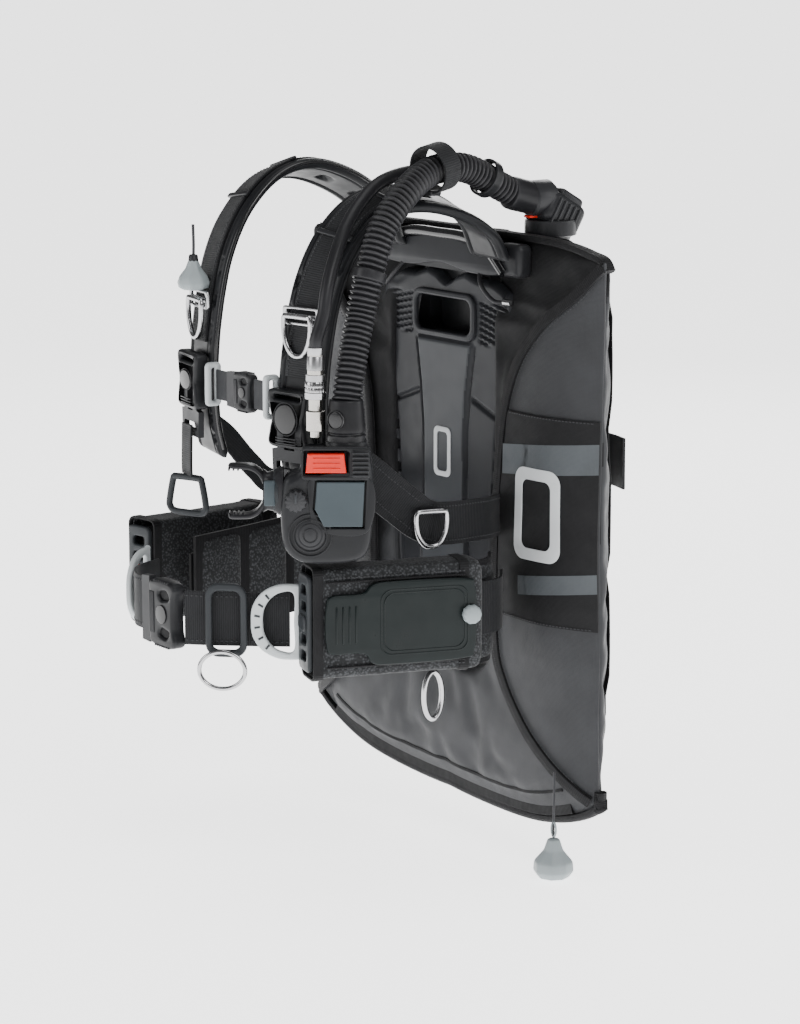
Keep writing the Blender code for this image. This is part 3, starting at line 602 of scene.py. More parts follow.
def puffed(made, voxel=0.005, pressure=4.0, cap=0.008, grow=0.0, pinned=None, frames=20):
    """Remesh a pad or bag and let Blender's cloth swell it, with each point's travel capped."""
    remesh = made.modifiers.new("remesh", "REMESH")
    remesh.mode = "VOXEL"
    remesh.voxel_size = voxel
    bake_down(made)
    rest = [v.co.copy() for v in made.data.vertices]
    cloth = made.modifiers.new("cloth", "CLOTH")
    settings = cloth.settings
    settings.quality = 4
    settings.mass = 0.2
    settings.tension_stiffness = 20.0
    settings.compression_stiffness = 20.0
    settings.shear_stiffness = 8.0
    settings.bending_stiffness = 0.8
    settings.use_pressure = True
    settings.uniform_pressure_force = pressure
    settings.shrink_min = -grow
    settings.effector_weights.gravity = 0.0
    if pinned is not None:
        group = made.vertex_groups.new(name="pinned")
        for v in made.data.vertices:
            hold = pinned(v.co)
            if hold > 0.0:
                group.add([v.index], hold, "REPLACE")
        settings.vertex_group_mass = "pinned"
    cloth.point_cache.frame_start = 1
    cloth.point_cache.frame_end = frames
    scene = bpy.context.scene
    for number in range(1, frames + 1):
        scene.frame_set(number)
    data = applied(made)
    made.modifiers.clear()
    made.vertex_groups.clear()
    for v, before in zip(data.vertices, rest):
        step = v.co - before
        if step.length > cap:
            v.co = before + step.normalized() * cap
    made.data = data
    scene.frame_set(1)
    return made


def relaxed(made, times=4, factor=0.5):
    """Even out a mesh."""
    shape = bmesh.new()
    shape.from_mesh(made.data)
    for _ in range(times):
        bmesh.ops.smooth_vert(shape, verts=shape.verts, factor=factor,
                              use_axis_x=True, use_axis_y=True, use_axis_z=True)
    shape.to_mesh(made.data)
    shape.free()
    return made


# ---------------------------------------------------------------- camera, floor and light

CAMERA_ROUND = radians(55)
CAMERA_UP = radians(10.5)
CAMERA_AWAY = 3.2
CAMERA_LENS = 118.1
FLOOR_REACH = 200.0
FLOOR_GLOW = 2.6
WORLD_GLOW = 0.16


def make_stage():
    """The camera, the floor, the world and five area lamps."""
    data = bpy.data.cameras.new("camera")
    camera = linked("camera", data)
    target = Vector((0.0, -0.083, -0.058))
    away = Vector((sin(CAMERA_ROUND) * cos(CAMERA_UP), -cos(CAMERA_ROUND) * cos(CAMERA_UP),
                   sin(CAMERA_UP)))
    camera.location = target + CAMERA_AWAY * away
    camera.rotation_euler = away.to_track_quat("Z", "Y").to_euler()
    data.lens = CAMERA_LENS
    bpy.context.scene.camera = camera

    floor_look = Shader("floor").material
    shader = floor_look.node_tree.nodes["Principled BSDF"]
    shader.inputs["Base Color"].default_value = (0.93, 0.93, 0.93, 1.0)
    shader.inputs["Roughness"].default_value = 0.9
    shader.inputs["Emission Color"].default_value = (1.0, 1.0, 1.0, 1.0)
    shader.inputs["Emission Strength"].default_value = FLOOR_GLOW
    level = cad_box[0][2] - 0.002
    reach = FLOOR_REACH
    floor = mesh_piece("floor", [(-reach, -reach, level), (reach, -reach, level),
                                 (reach, reach, level), (-reach, reach, level)], [(0, 1, 2, 3)])
    floor.data.materials.append(floor_look)

    world = bpy.data.worlds.new("studio")
    world.use_nodes = True
    world.node_tree.nodes["Background"].inputs["Color"].default_value = (1.0, 1.0, 1.0, 1.0)
    world.node_tree.nodes["Background"].inputs["Strength"].default_value = WORLD_GLOW
    bpy.context.scene.world = world
    lights = {"key": ((2.4, -0.4, 1.9), 1.2, 34.0), "front": ((-0.6, -2.6, 1.0), 1.4, 24.0),
              "top": ((0.2, 0.1, 2.4), 1.6, 20.0), "rim": ((-2.0, 1.8, 1.2), 1.2, 20.0),
              "back": ((1.6, 2.4, 0.9), 1.4, 18.0)}
    for name, (place_at, size, power) in lights.items():
        lamp = bpy.data.lights.new(name, "AREA")
        lamp.size = size
        lamp.energy = power
        made = linked(name, lamp)
        made.location = place_at
        made.rotation_euler = (Vector(place_at) - target).to_track_quat("Z", "Y").to_euler()


make_stage()


# ---------------------------------------------------------------- hoses

def make_feed_hose():
    """The direct-feed hose: over the shoulder, then hanging free behind the air cell."""
    points = [(0.1314, -0.2658, 0.1280), (0.1313, -0.2654, 0.1345), (0.1302, -0.2608, 0.1440),
              (0.1300, -0.2560, 0.1575), (0.1275, -0.2515, 0.1750), (0.1210, -0.2406, 0.1980),
              (0.1100, -0.2205, 0.2270), (0.0975, -0.1940, 0.2500), (0.0880, -0.1660, 0.2660),
              (0.0780, -0.1250, 0.2730), (0.0690, -0.0780, 0.2700), (0.0610, -0.0300, 0.2600),
              (0.0510, 0.0200, 0.2520), (0.0380, 0.0620, 0.2400), (0.0220, 0.0860, 0.2080),
              (0.0100, 0.0900, 0.1600), (0.0040, 0.0880, 0.1100)]
    route = smooth_route(points, 0.006)
    hose = tube("feed_hose_visual", points, 0.006, 0.006, 20)
    finish_piece(hose, None, rubber, ("feed_hose", "feed_hose_end"), 70.0)
    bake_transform(hose)
    end = route[-1]
    down = Matrix.Translation(end + Vector((-0.0003, -0.0001, -0.0140)))
    collar = turned("feed_fitting_collar", [(0.0062, 0.0240), (0.0076, 0.0235), (0.0076, 0.0045),
                                            (0.0082, 0.0040), (0.0082, 0.0), (0.0062, -0.0010)],
                    down, 24)
    finish_piece(collar, "harness", steel)
    nodes["feed_fitting"].data.materials[0] = steel


def corrugated(name, points, pitch, radius, deep, start_smooth=0.0, end_smooth=0.0):
    """A hose with rounded ridges."""
    route = smooth_route(points, 0.004)
    total = lengths_along(route)[-1]
    per_ridge = 6
    count = round(total / pitch) * per_ridge + 1
    even = even_route(route, count)
    frames = turning_frames(even)
    scale = []
    for i in range(count):
        at = total * i / (count - 1)
        wave = 0.5 + 0.5 * cos(2 * pi * i / per_ridge)
        ridge = wave ** 0.6
        if at < start_smooth or at > total - end_smooth:
            ridge = 1.0
        size = (radius - deep * (1.0 - ridge)) / radius
        scale.append((size, size))
    return sweep(name, even, frames, round_section(radius, 28), scale=scale)


def make_corrugated_hose():
    points = [(0.100, 0.0010, 0.2450), (0.100, -0.013, 0.2462), (0.101, -0.038, 0.2555),
              (0.105, -0.079, 0.2745), (0.109, -0.109, 0.2780), (0.115, -0.136, 0.2735),
              (0.1250, -0.1660, 0.2575), (0.1310, -0.1915, 0.2325), (0.1350, -0.2065, 0.2030),
              (0.1370, -0.2165, 0.1740), (0.1380, -0.2220, 0.1550), (0.1425, -0.2320, 0.1270),
              (0.1470, -0.2400, 0.1010), (0.1498, -0.2455, 0.0780)]
    hose = corrugated("corrugated_hose", points, 0.0050, 0.0136, 0.0026)
    finish_piece(hose, None, rubber, ("hose_upper", "hose_lower"), 80.0)
    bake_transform(hose)

    for name, centre, way, profile in (
            ("elbow_cuff", (0.1000, -0.0130, 0.2465), (0, -0.97, 0.25),
             [(0.0128, 0.019), (0.0150, 0.018), (0.0156, 0.013), (0.0152, -0.012),
              (0.0160, -0.016), (0.0128, -0.018)]),
            ("hose_ring", (0.1361, -0.2115, 0.1890), (0.05, -0.32, -0.95),
             [(0.0135, 0.0050), (0.0152, 0.0042), (0.0155, 0.0), (0.0152, -0.0042),
              (0.0135, -0.0050)])):
        turn = Vector(way).to_track_quat("Z", "Y").to_matrix().to_4x4()
        matrix = Matrix.Translation(centre) @ turn
        cuff = turned(name, profile, matrix, 32)
        rounded(cuff, 0.0007, 2)
        finish_piece(cuff, "harness", rubber)

    centre = Vector((0.1500, -0.2460, 0.0625))
    profile = [(0.0140, 0.0210), (0.0150, 0.0200), (0.0158, 0.0120), (0.0164, 0.0020),
               (0.0172, -0.0040), (0.0172, -0.0075), (0.0160, -0.0082), (0.0160, -0.0098),
               (0.0172, -0.0104), (0.0172, -0.0170), (0.0150, -0.0180)]
    cuff = turned("lower_cuff", profile, Matrix.Translation(centre), 36)
    rounded(cuff, 0.0005, 2)
    finish_piece(cuff, "inflator", rubber)
    out = at_frame(centre + Vector((0.0060, -0.0150, 0.0040)), radians(22))
    badge = plate("cuff_badge", [circle(0.0075)], 0.0022, 0.0008, out)
    ring = plate("cuff_badge_ring", [circle(0.0088), circle(0.0079)], 0.0030, 0.0006, out)
    finish_piece(joined("cuff_emblem", [badge, ring]), "inflator", polymer_gloss)


def make_retainers():
    """The flat strap and the round clip that hold the hose to the left shoulder."""
    for name, centre, along, radius, width in (
            ("hose_strap", (0.1120, -0.1225, 0.2785), (0.22, -0.96, -0.16), 0.0222, 0.021),
            ("hose_clip", (0.1030, -0.0585, 0.2655), (0.09, -0.90, 0.42), 0.0178, 0.009)):
        turn = Vector(along).to_track_quat("Z", "Y").to_matrix().to_4x4()
        matrix = Matrix.Translation(centre) @ turn
        middle = radius - 0.0011
        loop = [Vector((middle * cos(2 * pi * i / 40), middle * sin(2 * pi * i / 40), 0.0))
                for i in range(40)]
        across = [Vector((0, 0, 1.0))] * 40
        band = sweep(name + "_visual", loop, across, flat_section(width, 0.0022), closed=True)
        band.data.transform(matrix)
        material = webbing if name == "hose_strap" else polymer
        finish_piece(band, "harness", material, (name,))
    # The keeper that holds the flat strap to the shoulder.
    keeper = block("hose_strap_keeper", (0.024, 0.012, 0.005), None, (0.1040, -0.1240, 0.2560),
                   0.0018)
    finish_piece(keeper, "harness", polymer)


def make_elbow():
    """The shoulder valve: a ribbed angled body on a round flange."""
    base = Vector((0.100, 0.018, 0.2155))
    flange = turned("elbow_flange", [(0.0180, 0.0085), (0.0236, 0.0080), (0.0240, 0.0045),
                                     (0.0240, -0.0060), (0.0190, -0.0080), (0.0170, -0.0130)],
                    Matrix.Translation(base), 40, 20, 0.012)
    middle = Matrix.Translation((0.100, 0.0035, 0.2440))
    lean = middle @ Matrix.Rotation(radians(-30), 4, "X")
    body = block("elbow_body", (0.037, 0.046, 0.031), lean, (0, 0.0240, -0.0030), 0.008, 4)
    crown = block("elbow_crown", (0.027, 0.030, 0.012), lean, (0, 0.0270, 0.0130), 0.005, 3)
    throat = turned("elbow_throat", [(0.0150, 0.012), (0.0168, 0.010), (0.0170, -0.010),
                                     (0.0140, -0.014)],
                    middle @ Matrix.Rotation(pi / 2, 4, "X"), 32)
    ribs = []
    for i in range(5):
        rib = block("rib", (0.0400, 0.0022, 0.0250), lean, (0, 0.0110 + 0.0062 * i, -0.0050),
                    0.0008, 2)
        ribs.append(rib)
    whole = joined("shoulder_elbow_visual", [flange, body, crown, throat] + ribs)
    finish_piece(whole, "harness", polymer, ("shoulder_elbow",))
    tag = block("elbow_tag", (0.010, 0.016, 0.0025), None, (0.100, -0.0020, 0.2275), 0.0010, 2)
    finish_piece(tag, "harness", red)


def make_quick_disconnect():
    """The feed hose's ferrule, hex, knurled sleeve and inlet nipple."""
    x, y = 0.1314, -0.2658
    base = 0.0790
    nodes["feed_barrel"].data.materials[0] = nickel
    ferrule = turned("feed_ferrule", [(0.0062, 0.0500), (0.0074, 0.0495), (0.0074, 0.0440),
                                      (0.0070, 0.0434), (0.0070, 0.0424), (0.0075, 0.0418),
                                      (0.0078, 0.0300), (0.0066, 0.0290), (0.0066, 0.0262),
                                      (0.0088, 0.0256), (0.0088, 0.0190), (0.0066, 0.0184)],
                     Matrix.Translation((x, y, base)), 6 * 6)
    finish_piece(ferrule, "inflator", brushed)
    knurl = turned("feed_knurl", [(0.0068, 0.0020), (0.0088, 0.0016), (0.0092, 0.0004),
                                  (0.0092, -0.0024), (0.0070, -0.0030)],
                   Matrix.Translation((x, y, base + 0.0130)), 72, 24, 0.025)
    finish_piece(knurl, "inflator", steel)
    sleeve = turned("feed_sleeve_visual", [(0.0090, 0.0080), (0.0095, 0.0074), (0.0095, 0.0030),
                                           (0.0086, 0.0024), (0.0086, -0.0016), (0.0096, -0.0022),
                                           (0.0096, -0.0076), (0.0088, -0.0080), (0.0066, -0.0080),
                                           (0.0066, 0.0080), (0.0090, 0.0080)],
                    Matrix.Translation((x, y, 0.0910)), 72, 22, 0.020)
    finish_piece(sleeve, "feed_sleeve", steel, ("feed_sleeve",))


# ---------------------------------------------------------------- inflator and second stage

INFLATOR_AT = at_frame((0.1500, -0.2551, -0.0040), radians(55.0))
PURGE_OUTLINE = [(-0.0128, -0.0236), (0.0236, -0.0236), (0.0256, 0.0194), (-0.0194, 0.0194),
                 (-0.0215, -0.0064)]


def make_inflator():
    """The combined inflator and regulator, in its own frame: it faces local -Y."""
    frame_at = INFLATOR_AT
    front = -0.021

    outline = curved_outline([(-0.031, 0.044), (-0.029, 0.046), (0.026, 0.046), (0.028, 0.044),
                              (0.031, 0.020), (0.030, -0.030), (0.024, -0.049), (0.010, -0.055),
                              (-0.012, -0.0565), (-0.032, -0.055), (-0.046, -0.044),
                              (-0.050, -0.022), (-0.049, 0.004), (-0.046, 0.020),
                              (-0.034, 0.027)], 0.004)
    body = plate("body_core", [outline], 0.042, 0.007, frame_at, 4)
    button_well = block("well", (0.040, 0.012, 0.0215), frame_at, (-0.0100, front, 0.0345),
                        0.003, 3)
    combine(body, button_well)
    purge_well = plate("well2", [PURGE_OUTLINE], 0.012, 0.0,
                       frame_at @ Matrix.Translation((0, front, 0)))
    combine(body, purge_well)
    bezel = plate("bezel", [rounded_rectangle(0.0300, 0.0150, 0.004, middle=(-0.0015, 0.0342)),
                            rounded_rectangle(0.0208, 0.0112, 0.003, middle=(-0.0100, 0.0345))],
                  0.0030, 0.0012, frame_at @ Matrix.Translation((0, front - 0.0006, 0)))
    frame_ring = plate("purge_frame", [curved_outline([(-0.016, -0.0265), (0.0265, -0.0265),
                                                       (0.0285, 0.0215), (-0.0220, 0.0215),
                                                       (-0.0245, -0.0075)], 0.004),
                                       PURGE_OUTLINE],
                       0.0028, 0.0010, frame_at @ Matrix.Translation((0, front - 0.0002, 0)))
    lower = turned("lower_house", [(0.0, 0.0165), (0.010, 0.0160), (0.0185, 0.0120),
                                   (0.0222, 0.0060), (0.0228, 0.0), (0.0228, -0.0120),
                                   (0.020, -0.0180), (0.0, -0.0200)],
                   frame_at @ Matrix.Translation((-0.0240, front + 0.0135, -0.0300))
                   @ Matrix.Rotation(pi / 2, 4, "X"), 40)
    grooves = []
    for i in range(4):
        place = frame_at @ Matrix.Translation((-0.0240, front - 0.0010 - 0.0006 * i, -0.0300))
        grooves.append(plate("groove", [circle(0.0195 - 0.0042 * i, 32),
                                        circle(0.0180 - 0.0042 * i, 32)], 0.0010, 0.0004, place))
    ribs = []
    for i in range(6):
        rib = block("fin", (0.0150, 0.0060, 0.0017), frame_at,
                    (0.0205, front - 0.0030, 0.0240 + 0.0040 * i), 0.0006, 2)
        ribs.append(rib)
    exhaust = block("exhaust", (0.0160, 0.0090, 0.0250), frame_at, (0.0205, front + 0.0010, 0.0340),
                    0.0020, 3)
    seam = plate("seam", [[(x * 1.006, z * 1.006) for x, z in outline],
                          [(x * 0.96, z * 0.96) for x, z in outline]], 0.0016, 0.0005, frame_at)
    collar = turned("hose_collar", [(0.0180, 0.0030), (0.0186, 0.0020), (0.0186, -0.0030),
                                    (0.0170, -0.0042)],
                    Matrix.Translation((0.1500, -0.2460, 0.0435)), 36)
    whole = joined("inflator_body_visual", [body, bezel, frame_ring, lower, exhaust, seam, collar]
                   + grooves + ribs)
    finish_piece(whole, "inflator", polymer, ("inflator_body",), 35.0)

    rounded(nodes["inflate_button"], 0.0008, 2)
    nodes["inflate_button"].data.materials[0] = red
    nodes["purge_button"].data.materials[0] = purge_grey
    grip = []
    for i in range(3):
        grip.append(block("grip", (0.0240, 0.0012, 0.0010), frame_at,
                          (-0.0095, front - 0.0034, 0.0300 + 0.0045 * i), 0.0004, 2))
    finish_piece(joined("button_grip", grip), "inflate_button", red)

    knob_at = frame_at @ Matrix.Translation((-0.0365, front - 0.0048, 0.0015)) \
        @ Matrix.Rotation(pi / 2, 4, "X")
    knob = turned("breathing_knob_visual", [(0.0, 0.0046), (0.0070, 0.0045), (0.0090, 0.0036),
                                            (0.0096, 0.0020), (0.0096, -0.0036), (0.0, -0.0042)],
                  knob_at, 60, 12, 0.055)
    finish_piece(knob, "breathing_knob", polymer, ("breathing_knob",))
    pointer = block("knob_pointer", (0.0020, 0.0012, 0.0075),
                    frame_at @ Matrix.Translation((-0.0365, front - 0.0096, 0.0040)), (0, 0, 0),
                    0.0004, 2)
    finish_piece(pointer, "breathing_knob", slate)


def make_mouthpiece():
    """The silicone neck, lip shield and bite tabs, clamped to the second stage."""
    frame_at = INFLATOR_AT
    z = 0.006
    stations, scale = [], []
    for x, wide, tall in ((-0.0480, 1.00, 1.10), (-0.0520, 1.00, 1.10), (-0.0560, 0.86, 0.94),
                          (-0.0620, 0.80, 0.86), (-0.0660, 0.92, 0.98)):
        stations.append(Vector((x, 0.002, z)))
        scale.append((wide, tall))
    section = [(0.0150 * abs(cos(a)) ** 0.7 * (1 if cos(a) > 0 else -1),
                0.0195 * abs(sin(a)) ** 0.7 * (1 if sin(a) > 0 else -1))
               for a in [2 * pi * k / 28 for k in range(28)]]
    neck = sweep("neck", stations, Vector((0, 1, 0)), section, scale=scale)
    neck.data.transform(frame_at)

    rows = []
    for i in range(13):
        angle = radians(92 - 184 * i / 12)
        taper = 1.0 - 0.22 * abs(i - 6) / 6
        rows.append((Vector((-0.081 + 0.0185 * cos(angle), 0.002, z + 0.0225 * sin(angle))),
                     taper))
    first, last = rows[0][0], rows[-1][0]
    rows = [(first + Vector((-0.016, 0, 0.0005)), 0.62),
            (first + Vector((-0.008, 0, 0)), 0.70)] + rows \
        + [(last + Vector((-0.008, 0, 0)), 0.70), (last + Vector((-0.016, 0, -0.0005)), 0.62)]
    shield = sweep("shield", [p for p, _ in rows], Vector((0, 1, 0)),
                   [(-0.0130, 0.0), (-0.0125, 0.0020), (-0.0080, 0.0026), (0.0, 0.0024),
                    (0.0080, 0.0026), (0.0125, 0.0020), (0.0130, 0.0), (0.0120, -0.0022),
                    (0.0, -0.0026), (-0.0120, -0.0022)],
                   scale=[(t, 1.0) for _, t in rows])
    subdivided(shield)
    bake_down(shield)
    shield.data.transform(frame_at)
    tabs = []
    for sign in (-1, 1):
        for i in range(4):
            tabs.append(block("tab", (0.0016, 0.0150, 0.0036), frame_at,
                              (-0.0840 - 0.0040 * i, 0.002, z + sign * 0.0205), 0.0007, 2))
    whole = joined("mouthpiece_visual", [neck, shield] + tabs)
    finish_piece(whole, "inflator", bite_rubber, ("mouthpiece",), 50.0)
    oval = [(-0.0545, 0.002 + 0.0148 * cos(a), z + 0.0190 * sin(a))
            for a in [2 * pi * k / 16 for k in range(16)]]
    clamp = sweep("mouthpiece_clamp", smooth_loop(oval, 0.003), Vector((1, 0, 0)),
                  flat_section(0.0042, 0.0012), closed=True)
    clamp.data.transform(frame_at)
    finish_piece(clamp, "inflator", slate)
    insert = block("mouthpiece_insert", (0.0100, 0.0040, 0.0230), frame_at, (-0.0600, -0.0115, z),
                   0.0016, 3)
    finish_piece(insert, "inflator", purge_grey)


make_feed_hose()
make_corrugated_hose()
make_retainers()
make_elbow()
make_quick_disconnect()
make_inflator()
make_mouthpiece()


# ---------------------------------------------------------------- air cell

WING_HALF_WIDTH = 0.233


def both_halves(half):
    return half + [(-x, z) for x, z in reversed(half)]


def dense_loop(points, per_segment):
    """A closed smooth outline with the same number of points on each of its stretches."""
    knots = [Vector((x, 0, z)) for x, z in points]
    count = len(knots)
    out = []
    for i in range(count):
        a, b, c, d = (knots[(i + k - 1) % count] for k in range(4))
        for j in range(per_segment):
            t = j / per_segment
            out.append(spline_point(a, b, c, d, t))
    return out


def sag(x, z):
    return 0.024 * max(0.0, x / WING_HALF_WIDTH) * min(1.0, max(0.0, -(z + 0.18) / 0.10))


def wing_front(z):
    t = min(1.0, max(0.0, (0.178 - z) / 0.050))
    return -0.0145 + (-0.034 + 0.0145) * t * t * (3 - 2 * t)


def wing_rim(z):
    """The depth of the wing's bound rim."""
    return 0.25 * wing_front(z) - 0.0115


def laid_on(made, points, way, lift):
    """The points moved along a direction onto a mesh's surface, and back out by a little."""
    tree = BVHTree.FromPolygons([v.co for v in made.data.vertices],
                                [p.vertices for p in made.data.polygons])
    way = Vector(way)
    out = []
    for p in points:
        hit = tree.ray_cast(p - way * 0.3, way)[0]
        out.append((hit if hit is not None else p) - way * lift)
    return out


def make_air_cell():
    """The horseshoe bag: simulated between its bound rim and the backplate."""
    outer = both_halves([(0.070, 0.2090), (0.150, 0.2075), (0.200, 0.2010), (0.225, 0.191),
                         (0.2285, 0.150), (0.2285, -0.080), (0.2300, -0.262), (0.222, -0.290),
                         (0.150, -0.320), (0.050, -0.332)])
    hole = both_halves([(0.025, 0.182), (0.050, 0.182), (0.058, 0.176), (0.066, 0.150),
                        (0.077, 0.112), (0.077, -0.060), (0.077, -0.150), (0.072, -0.184),
                        (0.056, -0.204), (0.022, -0.208)])
    outer = [(p.x, p.z) for p in dense_loop(outer, 10)]
    outer = [(x, z - sag(x, z)) for x, z in outer]
    hole = [(p.x, p.z) for p in dense_loop(hole, 10)]
    rings = [(0.03, "front", 0.0), (0.15, "front", 0.0), (0.35, "front", 0.0),
             (0.55, "front", 0.04), (0.74, "front", 0.20), (0.88, "front", 0.55),
             (0.96, "front", 0.85), (1.0, "rim", -0.0010), (1.0, "rim", 0.0050),
             (0.96, "rim", 0.0090), (0.88, "back", -0.0020), (0.74, "back", 0.0100),
             (0.55, "back", 0.0240), (0.35, "back", 0.0305), (0.12, "back", 0.0310),
             (0.0, "back", 0.0260), (0.0, "back", 0.0080), (0.0, "back", -0.0100)]
    verts = []
    count = len(outer)
    for t, kind, value in rings:
        for (ox, oz), (hx, hz) in zip(outer, hole):
            z = hz + (oz - hz) * t
            front, rim = wing_front(z), wing_rim(z)
            level = {"front": front + (rim - front) * value, "rim": rim + value, "back": value}
            verts.append((hx + (ox - hx) * t, level[kind], z))
    bag = mesh_piece("air_cell_visual", verts, wrapped_faces(len(rings), count, True))
    outward(bag)

    def held(p):
        at_rim = abs(p.x) > 0.214 or p.z > 0.196 or p.z < -0.305
        near_rim = abs(p.y - wing_rim(p.z)) < 0.008 and at_rim
        near_plate = abs(p.x) < 0.085 and -0.21 < p.z < 0.19
        return 1.0 if near_rim or near_plate else 0.0

    puffed(bag, voxel=0.0055, pressure=1.5, cap=0.0045, grow=0.035, pinned=held)
    relaxed(bag, 2)
    subdivided(bag)
    bake_down(bag)
    bag.data.materials.clear()
    bag.data.materials.append(nylon)
    bag.data.materials.append(nylon_dark_and_shade)
    # Painted shade: the bag's forward-facing faces above z -0.060 get the near-black dark nylon to
    # stand for the shadow in the hollow between the folded lobes and the back pad; below that the
    # same face keeps the plain nylon.
    for polygon in bag.data.polygons:
        middle = polygon.center
        if polygon.normal.y < -0.2 and middle.y < -0.006 and middle.z > -0.060:
            polygon.material_index = 1
    finish_piece(bag, "harness", None, ("air_cell",), 60.0)

    rim = [Vector((x, wing_rim(z) + 0.0020, z)) for x, z in outer]
    low = sorted((p for p in rim if p.z < -0.286), key=lambda p: p.x)
    high = sorted((p for p in rim if p.z > 0.187), key=lambda p: p.x)
    rim_section = [(-0.0055, -0.0030), (-0.0062, 0.0), (-0.0050, 0.0028), (0.0, 0.0038),
                   (0.0050, 0.0028), (0.0062, 0.0), (0.0055, -0.0030), (0.0, -0.0034)]
    for name, route in (("wing_rim_binding", low), ("wing_top_binding", high)):
        binding = sweep(name, route, Vector((0, 1, 0)), rim_section)
        finish_piece(binding, "harness", tape, smooth=60.0)

    # The sewn seams round the back of the bag, a little inside its rim and round the tank.
    for name, t, width in (("wing_back_tape", 0.80, 0.0110), ("wing_back_piping", 0.24, 0.0045)):
        loop = [Vector((hx + (ox - hx) * t, 0.0, hz + (oz - hz) * t))
                for (ox, oz), (hx, hz) in zip(outer, hole)]
        loop = laid_on(bag, loop, (0, -1, 0), 0.0006)
        ways = tangents(loop, True)
        across = [Vector((w.z, 0, -w.x)) for w in ways]
        band = sweep(name, loop, across, flat_section(width, 0.0014), closed=True)
        finish_piece(band, "harness", tape, smooth=60.0)

    # The bound bottom edge of the front face, and its parallel seam.
    for name, inset, width, depth in (("wing_bottom_tape", 0.975, 0.0100, 0.0018),
                                      ("wing_bottom_seam", 0.925, 0.0030, 0.0012)):
        route = [Vector((p.x * inset, 0.0, p.z * inset)) for p in low if abs(p.x) < 0.205]
        route = laid_on(bag, route, (0, 1, 0), 0.0006)
        ways = tangents(route)
        across = [Vector((-w.z, 0, w.x)) for w in ways]
        band = sweep(name, route, across, flat_section(width, depth))
        finish_piece(band, "harness", tape)


LOBE_EDGE = [(0.2265, 0.194), (0.200, 0.166), (0.160, 0.134), (0.128, 0.096), (0.108, 0.045),
             (0.100, -0.020), (0.095, -0.095), (0.096, -0.172), (0.110, -0.206),
             (0.140, -0.236), (0.180, -0.262), (0.222, -0.284)]


def lobe_edge(side, count):
    route = smooth_route([(x, 0, z) for x, z in LOBE_EDGE], 0.004)
    even = even_route(route, count)
    sign = SIDE[side]
    return [Vector((p.x * sign, 0.0, p.z - sag(p.x * sign, p.z) * 0.95)) for p in even]


def lobe_y(x, z):
    """The depth of a lobe's outer face, which turns back towards the rim and ripples a little."""
    wrap = min(1.0, max(0.0, 1.0 - (0.2285 - abs(x)) / 0.090))
    ripple = noise.noise(Vector((x * 7.0, 1.0, z * 5.0))) * 0.0030
    fold = noise.noise(Vector((x * 16.0 + z * 9.0, 4.0, z * 6.0))) * 0.0016
    return -0.0440 + ripple + fold + 0.0235 * wrap ** 2.4


def make_lobe(side):
    """One outer lobe of the wing: a loose panel bound along its curved inner edge."""
    sign = SIDE[side]
    rows, columns = 110, 34
    inner = lobe_edge(side, rows)
    verts = []
    for i, p in enumerate(inner):
        v = i / (rows - 1)
        outer_z = inner[0].z + 0.003 + (inner[-1].z - inner[0].z - 0.003) * v
        for k in range(columns):
            t = k / (columns - 1)
            x = p.x + (0.2290 * sign - p.x) * t
            z = p.z + (outer_z - p.z) * t
            verts.append((x, lobe_y(x, z), z))
    panel = mesh_piece("wing_lobe_" + side, verts, grid_faces(rows, columns))
    thickened(panel, 0.0030, 1.0 if side == "left" else -1.0)
    outward(panel)
    subdivided(panel)
    bake_down(panel)
    finish_piece(panel, "harness", nylon, ("wing_cover_" + side,), 60.0)

    edge = lobe_edge(side, 120)
    ways = tangents(edge)
    across = [Vector((-w.z, 0, w.x)) * sign for w in ways]
    for p in edge:
        p.y = lobe_y(p.x, p.z)
    route = [p + a * 0.0035 + Vector((0, -0.0012, 0)) for p, a in zip(edge, across)]
    binding = sweep("lobe_binding_" + side, route, across,
                    [(-0.0050, -0.0016), (-0.0058, 0.0004), (-0.0048, 0.0022), (0.0, 0.0028),
                     (0.0046, 0.0020), (0.0052, 0.0006), (0.0046, -0.0014), (0.0, -0.0020)])
    finish_piece(binding, "harness", tape, smooth=60.0)
    seam = [p + a * 0.0110 + Vector((0, -0.0015, 0)) for p, a in zip(edge, across)]
    stitches("lobe_stitching_" + side, seam[4:-4], Vector((0, -1, 0)), "harness")


def surface_patch(name, side, rows, lift, thickness=0.0010):
    """A fabric panel sewn on a lobe; rows lists (z, x from, x to) down the panel."""
    sign = SIDE[side]
    columns = 40
    verts = []
    for z, x1, x2 in rows:
        for k in range(columns):
            x = x1 + (x2 - x1) * k / (columns - 1)
            verts.append((x * sign, lobe_y(x * sign, z) - lift, z))
    patch = mesh_piece(name, verts, grid_faces(len(rows), columns))
    thickened(patch, thickness, 0.0)
    outward(patch)
    return patch


